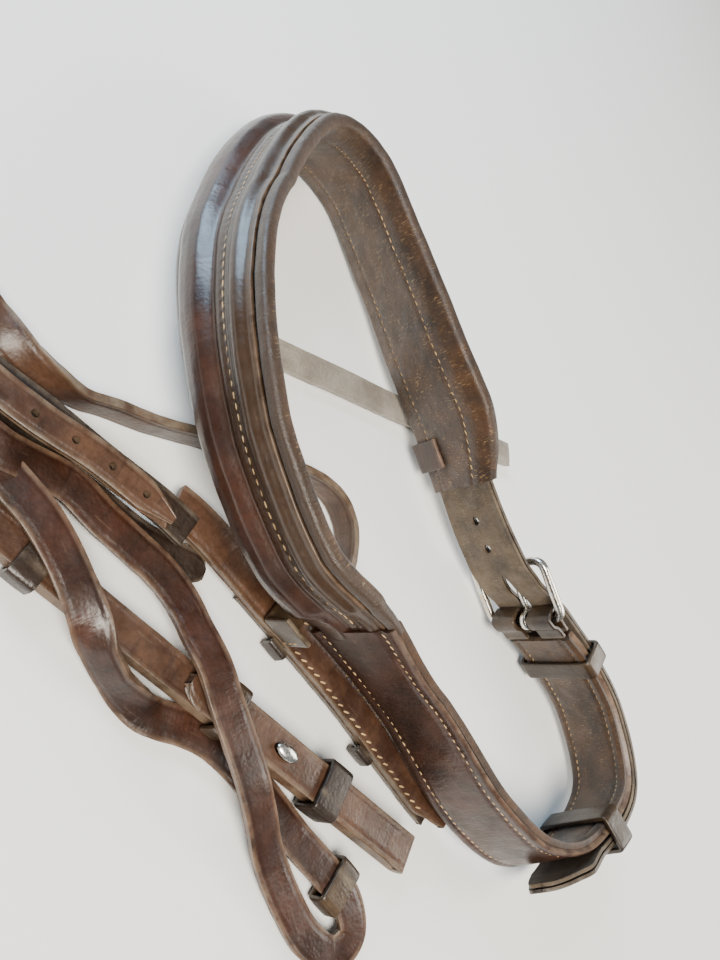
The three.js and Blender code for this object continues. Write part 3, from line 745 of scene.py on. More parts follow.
@dataclass(frozen=True)
class ThreadFinish:
    """Waxed linen thread, cream with a little dirt in it."""

    name: str
    cream: Colour
    dirt: Colour

    def make(self) -> bpy.types.Material:
        """Mixes the finish."""
        mix = Mixture(self.name)
        soiled = mix.ramp(mix.noise(170, 5), 0.42, 0.66, 0.0, 0.85)
        strands = mix.node("ShaderNodeTexWave", {"Vector": mix.object_place, "Scale": 900.0,
                                                 "Distortion": 2.0}).outputs["Fac"]
        mix.set(Base_Color=mix.blend(soiled, self.cream, self.dirt), Roughness=0.55)
        mix.relief(strands, 0.1, 0.6)
        return mix.material


@dataclass(frozen=True)
class Plating:
    """Bright plated wire, rubbed to its warmer base in patches."""

    name: str
    bright: Colour
    base: Colour

    def make(self) -> bpy.types.Material:
        """Mixes the finish."""
        mix = Mixture(self.name)
        rubbed = mix.ramp(mix.noise(230, 5), 0.45, 0.68, 0.0, 0.9)
        haze = mix.noise(1400, 5, rough=0.7)
        mix.set(Base_Color=mix.blend(rubbed, self.bright, self.base), Metallic=1.0,
                Roughness=mix.ramp(haze, 0.3, 0.7, 0.14, 0.36))
        mix.relief(haze, 0.03, 0.6)
        mix.relief(mix.noise(420, 3), 0.12, 0.5)
        return mix.material


@dataclass(frozen=True)
class Palette:
    """Every finish on the bridle, mixed once."""

    red: bpy.types.Material
    dome: bpy.types.Material
    olive: bpy.types.Material
    dark: bpy.types.Material
    oak: bpy.types.Material
    lining: bpy.types.Material
    rolled_lining: bpy.types.Material
    flesh: bpy.types.Material
    painted_sheen: bpy.types.Material
    edge: bpy.types.Material
    dark_edge: bpy.types.Material
    thread: bpy.types.Material
    gold_thread: bpy.types.Material
    metal: bpy.types.Material
    felt: bpy.types.Material


def mix_palette() -> Palette:
    """Mixes the palette."""
    tan, drab = (0.30, 0.19, 0.115), (0.25, 0.19, 0.125)
    return Palette(
        red=Leather("red_brown_leather", (0.016, 0.006, 0.003), (0.055, 0.020, 0.011), tan).make(),
        dome=Leather("dome_leather", (0.018, 0.006, 0.003), (0.050, 0.017, 0.008), tan, (0.26, 0.42),
                     wear=0.3, grain=0.07, crease=0.06, polish=0.25, upper=(0.036, 0.018, 0.007)).make(),
        olive=Leather("olive_leather", (0.020, 0.011, 0.005), (0.066, 0.038, 0.018), drab, (0.28, 0.46)).make(),
        dark=Leather("dark_leather", (0.011, 0.006, 0.004), (0.030, 0.018, 0.012), drab, wear=0.35).make(),
        oak=Leather("oak_leather", (0.036, 0.015, 0.008), (0.105, 0.050, 0.027), drab, (0.28, 0.48)).make(),
        lining=SoftLeather("lining_leather", (0.020, 0.009, 0.003), (0.072, 0.033, 0.013),
                           (0.50, 0.32, 0.15), hairs=0.6, shine=(0.38, 0.62)).make(),
        rolled_lining=SoftLeather("rolled_lining_leather", (0.022, 0.009, 0.003), (0.078, 0.034, 0.012),
                                  (0.60, 0.38, 0.17), hairs=0.8, shine=(0.34, 0.6),
                                  rolled=(0.034, 0.017, 0.007)).make(),
        flesh=SoftLeather("flesh_side", (0.040, 0.025, 0.012), (0.135, 0.090, 0.048),
                          (0.44, 0.35, 0.24), hairs=0.5).make(),
        # Pale silvery grey: painted sheen on the off sliphead's face, laid over its leather tone.
        painted_sheen=SoftLeather("silvery_painted_sheen_leather", (0.190, 0.160, 0.125), (0.330, 0.290, 0.240),
                           (0.55, 0.50, 0.42), hairs=0.3, shine=(0.38, 0.6)).make(),
        edge=CutEdge("cut_edge", (0.110, 0.075, 0.048), (0.280, 0.220, 0.160)).make(),
        dark_edge=CutEdge("dark_cut_edge", (0.040, 0.026, 0.017), (0.120, 0.088, 0.060)).make(),
        thread=ThreadFinish("cream_thread", (0.60, 0.40, 0.20), (0.18, 0.10, 0.045)).make(),
        gold_thread=ThreadFinish("gold_thread", (0.58, 0.38, 0.17), (0.22, 0.13, 0.06)).make(),
        metal=Plating("plated_metal", (0.80, 0.78, 0.74), (0.62, 0.50, 0.33)).make(),
        felt=SoftLeather("felt", (0.42, 0.39, 0.34), (0.60, 0.57, 0.50), (0.7, 0.67, 0.6)).make(),
    )


def deliver(piece: bpy.types.Object, body: str, slot: str, *nodes: str) -> bpy.types.Object:
    """Hands a finished piece over: it rides on its body and stands for its nodes.

    Args:
        piece: the finished piece.
        body: the body that it moves with.
        slot: the record's material slot; not used.
        nodes: the plain solids that it replaces.

    Returns:
        The piece.
    """
    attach(piece, body)
    if nodes:
        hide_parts(*nodes)
    LOG.info("%s rides on %s with %d faces", piece.name, body, len(piece.data.polygons))
    return piece


def soften(points: list[tuple[float, float]], reach: float = 0.45) -> Callable[[Array], Array]:
    """A section through points, in millimetres, with its corners softened.

    Args:
        points: across and height.
        reach: how far the softening goes.

    Returns:
        A rule from places across to heights, both in millimetres.
    """
    places = np.linspace(points[0][0], points[-1][0], 721)
    heights = np.interp(places, [p[0] for p in points], [p[1] for p in points])
    many = max(1, int(reach / (places[1] - places[0])))
    for _ in range(3):
        padded = np.pad(heights, many, mode="edge")
        heights = np.convolve(padded, np.full(2 * many + 1, 1 / (2 * many + 1)), mode="valid")
    return lambda across: np.interp(across, places, heights)


def uneven(along: Array, across: Array, size: float, seed: float) -> Array:
    """Gentle hand-made unevenness between -1 and 1, with features of a size in millimetres."""
    a, b = along / (size * MM), across / (size * MM)
    wave = np.sin(a * 1.31 + b * 0.73 + seed) + np.sin(a * 0.57 - b * 1.17 + seed * 2.3)
    return (wave + np.sin(a * 2.11 + seed * 5.1) * np.cos(b * 1.9 + seed)) / 3


# ---- Sub-assemblies -----------------------------------------------------------------------------
NOSE_LOOP = Line(NOSEBAND_LINE, closed=True, upright=90)
NOSE_WIDTH = 36.0
STRAP_WIDTH = 24.0


def nose_width(stations: Array) -> Array:
    """The noseband's width, as a share of the nosepiece's, at stations of its loop."""
    lap = np.where(stations < 10.5, stations + len(NOSEBAND_LINE), stations)
    narrow = STRAP_WIDTH / NOSE_WIDTH
    return narrow + (1 - narrow) * np.minimum(ease(lap, 15.3, 16.4), 1 - ease(lap, 25.8, 26.95))


def dome_rise(stations: Array) -> Array:
    """How fully the dome stands up at stations of the loop."""
    return 0.35 + 0.65 * np.minimum(ease(stations, 15.6, 16.3), 1 - ease(stations, 25.7, 26.3))


@dataclass
class Nosepiece:
    """The raised, padded nosepiece: stitched outer leather, its filling and a rolled lining."""

    start: float = 15.6
    stop: float = 26.3
    panel_section: list[tuple[float, float]] = field(default_factory=lambda: [
        (0, 0.9), (0.6, 1.7), (2.2, 2.1), (3.3, 1.8), (4.3, 2.2), (5.0, 3.3), (6.6, 5.5), (9, 6.8),
        (12, 7.1), (14.6, 6.6), (16.6, 4.8), (17.8, 3.2), (18.4, 3.2), (19.2, 3.8), (21.8, 3.5),
        (23.8, 3.9), (24.4, 3.1), (25.0, 4.2), (26.2, 5.0), (27.6, 5.1), (28.9, 4.4), (29.8, 3.0),
        (31.6, 2.6),
    ])
    wall: float = 1.2
    stitch_rows: tuple[float, ...] = (3.3, 21.8)
    lining_rows: tuple[float, ...] = (6.8, 26.8)

    def build(self, palette: Palette) -> None:
        """Builds the outer leather, filling, lining and their stitching."""
        self.bend = Bend(NOSE_LOOP, self.start, self.stop)
        self.section = soften(self.panel_section)
        self._panel(palette)
        self._filling(palette)
        self._lining(palette)
        self.bend.done()

    def _share(self, lengths: Array) -> tuple[Array, Array]:
        """Width share and dome rise at lengths along the piece."""
        stations = self.bend.station(lengths)
        return nose_width(stations), dome_rise(stations)

    def _panel(self, palette: Palette) -> None:
        """Shapes the outer leather over the filling and sews it."""
        def shaper(along: Array, across: Array) -> tuple[Array, Array, Array]:
            x = along * self.bend.length
            y = across * 31.7
            width, rise = self._share(x)
            z = self.section(y) * MM
            for row in self.stitch_rows:
                near = np.exp(-((y - row) / 0.8) ** 2)
                z -= near * (0.28 + 0.16 * np.cos(x / MM / LEATHER_THREAD.pitch * 2 * math.pi)) * MM
            z += 0.16 * MM * uneven(x, y * MM, 9.0, 1.7) * np.clip(z / (4 * MM), 0, 1.4)
            z += 0.07 * MM * uneven(x, y * MM, 2.6, 4.1)
            return x, y * width * MM, z * rise

        panel = sheet("nosepiece_outer_leather", 440, 76, shaper, self.wall, edge=0.35)
        rows = []
        for row in self.stitch_rows:
            def across(lengths: Array, row: float = row) -> Array:
                return row * MM * self._share(lengths)[0]

            def height(lengths: Array, row: float = row) -> Array:
                return (self.section(np.full_like(lengths, row)) - 0.3) * MM * self._share(lengths)[1]

            rows.append(LEATHER_THREAD.sew(3 * MM, self.bend.length - 2 * MM, across, height))
        stitches = join("nosepiece_stitching", rows)
        self.bend.bend(panel, stitches)
        finish_with(smooth(panel), palette.dome, palette.flesh, palette.dark_edge)
        finish_with(smooth(stitches, 80), palette.thread)
        deliver(panel, "bridle", "leather_havana", "nose_panel")
        deliver(stitches, "bridle", "leather_havana")

    def _filling(self, palette: Palette) -> None:
        """Shapes the felt under the dome."""
        def shaper(along: Array, across: Array) -> tuple[Array, Array, Array]:
            x = along * (self.bend.length - 1.2 * MM) + 0.6 * MM
            y = 3.4 + across * 25.6
            width, rise = self._share(x)
            z = (self.section(y) - self.wall - 0.35) * MM * rise
            return x, y * width * MM, np.maximum(z, 0.2 * MM)

        filling = sheet("nosepiece_filling", 120, 26, shaper, 0.8, edge=0.2)
        self.bend.bend(filling)
        finish_with(smooth(filling), palette.felt)
        deliver(filling, "bridle", "padding", "nose_padding")

    def _lining(self, palette: Palette) -> None:
        """Rolls the lining over the upper rim and sews it."""
        path = folded([(32.4, -1.2), (32.4, 2.8), (36.2, 2.5), (36.2, -1.3), (30.5, -3.5), (0.2, -3.5),
                       (0.2, -2.2)], 1.7)

        def shaper(along: Array, across: Array) -> tuple[Array, Array, Array]:
            x = along * self.bend.length
            side, out = path(across)
            width, _ = self._share(x)
            face = np.clip(-out / (3.5 * MM), 0, 1)
            for row in self.lining_rows:
                near = np.exp(-((side / MM - row) / 0.8) ** 2) * face
                out = out + near * (0.2 + 0.14 * np.cos(x / MM / 2.5 * 2 * math.pi)) * MM
            out = out - face * (0.35 * ease(side / MM, 2, 9) * (1 - ease(side / MM, 24, 30)) * MM)
            out = out + 0.15 * MM * uneven(x, side, 7.0, 2.2) + 0.08 * MM * uneven(x, side, 2.1, 0.4)
            ends = ease(x, 0, 9 * MM) * ease(self.bend.length - x, 0, 16 * MM)
            out = np.where(out > 0, out * (0.4 + 0.6 * ends), out)
            return x, side * width, out

        lining = sheet("nosepiece_lining", 400, 84, shaper, 1.1, edge=0.3)
        rows = []
        for row in self.lining_rows:
            def across(lengths: Array, row: float = row) -> Array:
                return row * MM * self._share(lengths)[0]

            rows.append(LEATHER_THREAD.sew(3 * MM, self.bend.length - 2 * MM, across, steady(-3.45), -1))
        stitches = join("nosepiece_lining_stitching", rows)
        self.bend.bend(lining, stitches)
        finish_with(smooth(lining), palette.rolled_lining, palette.flesh, palette.dark_edge)
        finish_with(smooth(stitches, 80), palette.gold_thread)
        deliver(lining, "bridle", "leather_lining", "nose_lining")
        deliver(stitches, "bridle", "leather_lining")


@dataclass
class Hangers:
    """The two wraps under the nosepiece where the sliphead is sewn on."""

    near: tuple[float, float] = (6.02, 7.6)
    off: tuple[float, float] = (16.02, 6.6)
    wall: float = 1.4
    length: float = 10.0

    def build(self, palette: Palette) -> None:
        """Builds both wraps."""
        for name, (station, face) in (("near_hanger", self.near), ("off_hanger", self.off)):
            brow = face + self.wall
            path = folded([(11, -5.4), (-1.9, -5.4), (-1.9, brow), (9, brow)], 2.4)
            wrap = band(name + "_wrap", path, 0.0, self.length, self.wall, edge=0.45)
            row = Thread(pitch=2.2, long=1.6, thick=0.55)
            stitches = row.sew(0, 8.5 * MM, steady(0), steady(brow))
            turned = vertices(stitches)[:, [1, 0, 2]]
            move_vertices(stitches, turned * (1, 1, 1) + (3.4 * MM, -0.2 * MM, 0))
            pick(stitches)
            bpy.ops.object.mode_set(mode="EDIT")
            bpy.ops.mesh.select_all(action="SELECT")
            bpy.ops.mesh.flip_normals()
            bpy.ops.object.mode_set(mode="OBJECT")
            for piece in (wrap, stitches):
                put(piece, NOSE_LOOP.place(station))
            face_finish = palette.red if name == "off_hanger" else palette.olive
            finish_with(smooth(wrap), face_finish, palette.flesh, palette.edge)
            finish_with(smooth(named(stitches, name + "_stitching"), 80), palette.thread)
            deliver(wrap, "bridle", "leather_olive", name)
            deliver(stitches, "bridle", "leather_olive")


@dataclass
class ChinStrap:
    """The two-layer chin strap, sewn along both edges."""

    start: float = 6.22
    stop: float = 13.5
    face_section: list[tuple[float, float]] = field(default_factory=lambda: [
        (0, 1.3), (0.7, 2.2), (2.3, 2.3), (3.4, 1.75), (4.6, 2.15), (12, 2.3), (19.4, 2.15),
        (20.6, 1.75), (21.7, 2.3), (23.3, 2.2), (24, 1.3),
    ])
    back_section: list[tuple[float, float]] = field(default_factory=lambda: [
        (0, 1.3), (0.8, 2.0), (2.3, 2.1), (3.4, 1.7), (4.6, 2.0), (12, 2.1), (19, 2.0), (20.3, 1.6),
        (21.2, 2.2), (22.6, 2.4), (24, 1.5),
    ])
    rows: tuple[float, float] = (3.4, 20.5)

    def build(self, palette: Palette) -> None:
        """Builds the outer layer, the inner layer and their stitching."""
        bend = Bend(NOSE_LOOP, self.start, self.stop)
        for name, section, lie, finishes, thread, slot, node in (
            ("chin_strap_outer", self.face_section, 1.0,
             (palette.red, palette.flesh, palette.edge), palette.thread, "leather_havana", "chin_strap"),
            ("chin_strap_inner", self.back_section, -1.0,
             (palette.lining, palette.flesh, palette.edge), palette.gold_thread, "leather_lining",
             "chin_lining"),
        ):
            profile = soften(section, 0.3)

            def shaper(along: Array, across: Array, lie: float = lie, profile: Callable = profile
                       ) -> tuple[Array, Array, Array]:
                x = along * bend.length
                across = across if lie > 0 else 1 - across
                y = across * STRAP_WIDTH
                width = nose_width(bend.station(x)) * NOSE_WIDTH / STRAP_WIDTH
                z = profile(y) * MM
                for row in self.rows:
                    near = np.exp(-((y - row) / 0.7) ** 2)
                    z = z - near * (0.12 + 0.12 * np.cos(x / MM / 2.5 * 2 * math.pi)) * MM
                z = z + (0.12 * uneven(x, y * MM, 8.0, 3.0) + 0.06 * uneven(x, y * MM, 2.3, 1.0)) * MM
                return x, y * width * MM, z * lie

            layer = sheet(name, 300, 44, shaper, 1.9, edge=0.4)
            sewn = []
            for row in self.rows:
                def across_at(lengths: Array, row: float = row) -> Array:
                    return row * MM * nose_width(bend.station(lengths)) * NOSE_WIDTH / STRAP_WIDTH

                sewn.append(LEATHER_THREAD.sew(2 * MM, bend.length - 2 * MM, across_at,
                                               steady(lie * (1.72 if lie > 0 else 1.6)), lie))
            stitches = join(name + "_stitching", sewn)
            bend.bend(layer, stitches)
            finish_with(smooth(layer), *finishes)
            finish_with(smooth(stitches, 80), thread)
            deliver(layer, "bridle", slot, node)
            deliver(stitches, "bridle", slot)
        bend.done()


@dataclass
class Billet:
    """The punched billet that runs through the buckle, its lining and its pointed tip."""

    start: float = 9.1
    stop: float = 15.66
    inset: float = 0.6
    lift: list[tuple[float, float]] = field(default_factory=lambda: [
        (9.1, 9.5), (9.5, 7.2), (9.9, 4.4), (10.6, 4.1), (12.7, 4.2), (13.2, 4.8), (13.7, 5.8),
        (14.0, 4.6), (14.3, 2.0), (14.6, 0.3), (15.0, 0.0), (15.6, 0.0),
    ])
    holes: tuple[float, ...] = (15.2, 14.85, 12.3, 11.7)
    tongue_slot: float = 14.1

    def lift_at(self, stations: Array) -> Array:
        """How far outside the chin strap the billet lies, in millimetres."""
        result = np.full_like(stations, self.lift[0][1])
        for (a, low), (b, high) in zip(self.lift, self.lift[1:]):
            share = np.clip((stations - a) / (b - a), 0, 1)
            result = np.where(stations > a, low + (high - low) * (ease(stations, a, b) + share) / 2, result)
        return result

    def build(self, palette: Palette) -> None:
        """Builds both layers with their holes and edge stitching."""
        bend = Bend(NOSE_LOOP, self.start, self.stop)
        middle = STRAP_WIDTH / 2 * MM

        def lift(lengths: Array) -> Array:
            return self.lift_at(bend.station(lengths)) * MM

        def half(lengths: Array) -> Array:
            tip = np.clip((bend.station(lengths) - self.start) / 0.5, 0, 1)
            return (0.16 + 0.84 * tip ** 0.7) * (middle - self.inset * MM)

        for name, lie, finishes, slot, node in (
            ("billet_outer", 1.0, (palette.dark, palette.flesh, palette.edge), "leather_dark", "billet"),
            ("billet_inner", -1.0, (palette.flesh, palette.flesh, palette.edge), "leather_lining",
             "billet_lining"),
        ):
            def shaper(along: Array, across: Array, lie: float = lie) -> tuple[Array, Array, Array]:
                x = along * bend.length
                across = across if lie > 0 else 1 - across
                y = middle + (across - 0.5) * 2 * half(x)
                rim = np.minimum(across, 1 - across) * 22.8
                crease = 0.2 * np.exp(-((rim - 2.2) / 0.45) ** 2)
                z = (1.3 - crease + 0.08 * uneven(x, y, 6.0, 2.0)) * MM
                return x, y, z * lie + lift(x)

            layer = sheet(name, 240, 26, shaper, 1.05, edge=0.3)
            for station in self.holes:
                spot = Matrix.Translation((bend.reach(station), middle, float(lift(bend.reach(station)))))
                drill(layer, [spot], 1.6, 8)
            spot = Matrix.Translation((bend.reach(self.tongue_slot), middle,
                                       float(lift(bend.reach(self.tongue_slot)))))
            drill(layer, [spot], 2.3, 14, 4.6)
            bend.bend(layer)
            finish_with(smooth(layer), *finishes)
            deliver(layer, "bridle", slot, node)
        rows = []
        for side in (-1, 1):
            def across(lengths: Array, side: int = side) -> Array:
                return middle + side * (half(lengths) - 2.2 * MM)

            rows.append(LEATHER_THREAD.sew(3 * MM, bend.length - 3 * MM, across,
                                           lambda lengths: lift(lengths) + 1.12 * MM))
        stitches = join("billet_stitching", rows)
        bend.bend(stitches)
        finish_with(smooth(stitches, 80), palette.thread)
        deliver(stitches, "bridle", "leather_dark")
        bend.done()


@dataclass
class Buckle:
    """The plated buckle: a rounded square frame, its tongue, and the chape folded round its bar."""

    bar_station: float = 13.8
    far_station: float = 14.56
    bar: float = 2.6
    inside: float = 25.2
    chape_width: float = 23.2
    slot_width: float = 5.2
    roll: float = 3.92
    tail: float = 7.0

    def __post_init__(self) -> None:
        """Finds the hinge bar's axes: x across, y out of the face and z towards the far bar."""
        bar_place = NOSE_LOOP.place(self.bar_station)
        hinge = bar_place @ Vector((0, STRAP_WIDTH / 2 * MM, 0.05 * MM))
        far = NOSE_LOOP.place(self.far_station) @ Vector((0, STRAP_WIDTH / 2 * MM, 4.2 * MM))
        along = far - hinge
        self.reach = along.length / MM
        along.normalize()
        across = bar_place.col[1].xyz
        face = along.cross(across).normalized()
        across = face.cross(along)
        self.axes = Matrix((across, face, along)).transposed().to_4x4()
        self.axes.translation = hinge
        self.chape_axes = bar_place @ Matrix.Translation((0, STRAP_WIDTH / 2 * MM, 0.05 * MM))

    def build(self, palette: Palette) -> None:
        """Builds the frame, the tongue and the chape."""
        self._frame(palette)
        self._tongue(palette)
        self._chape(palette)

    def _ring(self, name: str, segments: int) -> tuple[bpy.types.Object, Array, Array, Array]:
        """A ring with each vertex's share round it and its two offsets from the wire's middle."""
        bpy.ops.object.select_all(action="DESELECT")
        bpy.ops.mesh.primitive_torus_add(major_segments=segments, minor_segments=20, major_radius=1,
                                         minor_radius=0.5)
        ring = named(bpy.context.object, name)
        rows = vertices(ring)
        share = (np.arctan2(rows[:, 1], rows[:, 0]) / (2 * math.pi)) % 1.0
        out = (np.hypot(rows[:, 0], rows[:, 1]) - 1) * 2
        return ring, share, out, rows[:, 2] * 2

    def _frame(self, palette: Palette) -> None:
        """Bends the wire square and squares its section a little."""
        ring, share, out, up = self._ring("buckle_frame_wire", 144)
        a, b = self.inside / 2 + self.bar / 2, self.reach
        path = folded([(0, b), (-a, b), (-a, 0), (a, 0), (a, b)], 3.6, closed=True)
        side, along = path((share + 0.0005) % 1.0)
        ahead_side, ahead_along = path((share + 0.0035) % 1.0)
        step = np.column_stack((ahead_side - side, ahead_along - along))
        step /= np.linalg.norm(step, axis=1)[:, None] + 1e-12
        square = 1 / np.maximum((np.abs(out) ** 4 + np.abs(up) ** 4) ** 0.25, 1e-6)
        wire = self.bar / 2 * MM * (0.35 + 0.65 * square)
        rows = np.column_stack((side + step[:, 1] * out * wire, up * wire, along - step[:, 0] * out * wire))
        move_vertices(ring, rows)
        put(ring, self.axes)
        finish_with(smooth(ring, 60), palette.metal)
        deliver(ring, "buckle", "buckle_metal", "buckle_frame")

    def _tongue(self, palette: Palette) -> None:
        """Bends the tongue's eye round the bar and lays its point on the far bar."""
        eye, share, out, up = self._ring("tongue_eye", 48)
        turn = share * 2 * math.pi
        radius = (2.67 + out * 0.55) * MM
        move_vertices(eye, np.column_stack((up * 1.15 * MM, radius * np.sin(turn), radius * np.cos(turn))))
        bpy.ops.object.select_all(action="DESELECT")
        bpy.ops.mesh.primitive_uv_sphere_add(segments=24, ring_count=48, radius=1)
        rod = bpy.context.object
        rows = vertices(rod)
        share = (rows[:, 2] + 1) / 2
        girth = np.hypot(rows[:, 0], rows[:, 1]) + 1e-9
        body = np.clip(girth * 2.2, 0, 1) / girth
        along = 1.2 + share * (self.reach + 2.3 - 1.2)
        middle = soften([(0, 2.5), (4, 2.05), (self.reach * 0.5, 1.75), (self.reach - 3, 2.5),
                         (self.reach + 3, 2.5)], 1.2)(along)
        taper = 1 - 0.35 * ease(share, 0.55, 1)
        rows = np.column_stack((rows[:, 0] * body * 1.15 * taper, middle + rows[:, 1] * body * 0.78, along))
        move_vertices(rod, rows * MM)
        pick(rod)
        tongue = join("buckle_tongue_wire", [rod, eye])
        put(tongue, self.axes)
        finish_with(smooth(tongue, 60), palette.metal)
        deliver(tongue, "tongue", "buckle_metal", "buckle_tongue")

    def _chape(self, palette: Palette) -> None:
        """Folds the strap's end round the bar, in two halves with the tongue's slot between."""
        gap = (self.chape_width - self.slot_width) / 2
        roll, depth = self.roll, 2.2
        path = folded([(-self.tail, depth), (-2.6, depth), (-1.0, roll), (roll, roll), (roll, -roll),
                       (-1.0, -roll), (-2.6, -depth), (-self.tail, -depth)], 2.9)
        halves = []
        for side in (-1, 1):
            outer = side * self.chape_width / 2 * MM
            low = min(outer, outer - side * gap * MM)

            def shaper(along: Array, across: Array, low: float = low) -> tuple[Array, Array, Array]:
                x, z = path(across)
                y = low + (1 - along) * gap * MM
                return x, y, z + 0.08 * MM * uneven(y, x, 3.0, 2.0)

            halves.append(sheet("half", 14, 60, shaper, 1.5, edge=0.4))
        chape = join("buckle_chape_fold", halves)
        put(chape, self.chape_axes)
        finish_with(smooth(chape), palette.olive, palette.flesh, palette.edge)
        deliver(chape, "bridle", "leather_olive", "buckle_chape")


@dataclass
class NosebandLoops:
    """The fixed keeper beside the buckle and the runner that holds the billet's tip."""

    def build(self, palette: Palette) -> None:
        """Builds both loops."""
        for name, node, body, station, across, out, wall, length in (
            ("noseband_keeper", "buckle_keeper", "bridle", 12.95, (-0.5, 24.5), (-2.7, 6.2), 1.4, 7),
            ("noseband_runner", "chin_runner", "chin_loop", 10.3, (-0.7, 24.7), (-3.1, 6.6), 1.5, 8),
        ):
            loop = band(name, loop_path(across, out, wall, 2.2), 0.0, length, wall, closed=True,
                        columns=96, edge=0.4)
            put(loop, NOSE_LOOP.place(station))
            finish_with(smooth(loop), palette.olive, palette.flesh, palette.edge)
            deliver(loop, body, "leather_olive", node)


class TipShape(Enum):
    """How a strap ends."""

    SQUARE = "square"
    ROUND = "round"
    POINT = "point"


@dataclass
class FlatStrap:
    """A single strap along its line, with its tip, holes and edge stitching."""

    name: str
    node: str
    slot: str
    line: list[Spot]
    width: float
    thickness: float = 2.6
    tip: TipShape = TipShape.SQUARE
    holes: tuple[float, ...] = ()
    rows: tuple[float, ...] = ()
    thread: Thread = LEATHER_THREAD
    seed: float = 1.0
    start: float = 0.0
    sewn: tuple[float, float] | None = None

    def _half(self, from_end: Array) -> Array:
        """Half the width at distances from the tip, in metres."""
        half = self.width / 2 * MM
        if self.tip is TipShape.ROUND:
            share = np.clip(from_end / half, 0, 1)
            return half * np.maximum(np.sqrt(1 - (1 - share) ** 2), 0.22)
        if self.tip is TipShape.POINT:
            return half * np.minimum(1, 0.3 + 0.7 * from_end / (1.1 * self.width * MM))
        return np.full_like(from_end, half)

    def build(self, face: bpy.types.Material, back: bpy.types.Material, edge: bpy.types.Material,
              thread: bpy.types.Material) -> None:
        """Cuts, creases, punches, sews and bends the strap.

        Args:
            face: its upper side's finish.
            back: its underside's finish.
            edge: its cut edge's finish.
            thread: its stitching's finish.
        """
        bend = Bend(Line(self.line), self.start)

        def shaper(along: Array, across: Array) -> tuple[Array, Array, Array]:
            x = along * bend.length
            y = (across - 0.5) * 2 * self._half(bend.length - x)
            rim = np.minimum(across, 1 - across) * self.width
            z = self.thickness / 2 - 0.22 * np.exp(-((rim - 1.2) / 0.35) ** 2) - 0.25 * np.exp(-rim / 0.5)
            for row in self.rows:
                z = z - 0.22 * np.exp(-((y / MM - row) / 0.7) ** 2)
            z = z + 0.12 * uneven(x, y, 6.0, self.seed) + 0.06 * uneven(x, y, 1.9, self.seed * 3)
            return x, y + 0.12 * MM * uneven(x, x * 0, 11.0, self.seed), z * MM

        strap = sheet(self.name, max(40, int(bend.length / MM / 0.7)), 20, shaper, self.thickness - 0.1,
                      edge=0.45)
        for distance in self.holes:
            drill(strap, [Matrix.Translation((bend.length - distance * MM, 0, 0))], 1.0, 8)
        bend.bend(strap)
        finish_with(smooth(strap), face, back, edge)
        deliver(strap, "bridle", self.slot, self.node)
        if self.rows:
            stretch = (2.5 * MM, bend.length - 3 * MM)
            if self.sewn is not None:
                stretch = (bend.reach(self.sewn[0]), bend.reach(self.sewn[1]))
            sewn = [self.thread.sew(*stretch, steady(row), steady(self.thickness / 2 - 0.12))
                    for row in self.rows]
            stitches = join(self.name + "_stitching", sewn)
            bend.bend(stitches)
            finish_with(smooth(stitches, 80), thread)
            deliver(stitches, "bridle", self.slot)
        bend.done()


def level(line: list[Spot], height: float) -> list[Spot]:
    """A line laid at one height with its width flat."""
    return [(x, y, height, 0.0) for x, y, _, _ in line]


@dataclass
class CheekLoops:
    """The ends of the near cheekpiece's two loops that show beside it."""

    places: tuple[tuple[str, float, float], ...] = (
        ("near_cheek_upper_loop", 35.0, -52.8), ("near_cheek_lower_loop", 72.5, -36.2))

    def build(self, palette: Palette) -> None:
        """Builds both loop ends."""
        for node, x, y in self.places:
            path = folded([(0, 0.3), (-2.1, 0.3), (-2.1, 5.0), (0, 5.0)], 1.2)
            end = band(node + "_end", path, 0.0, 6.2, 1.3, columns=30, edge=0.3)
            put(end, Matrix.Translation(Vector((x, y, 0)) * MM + SHIFT)
                @ Matrix.Rotation(math.radians(24), 4, "Z"))
            finish_with(smooth(end), palette.dark, palette.flesh, palette.dark_edge)
            deliver(end, "bridle", "leather_dark", node)


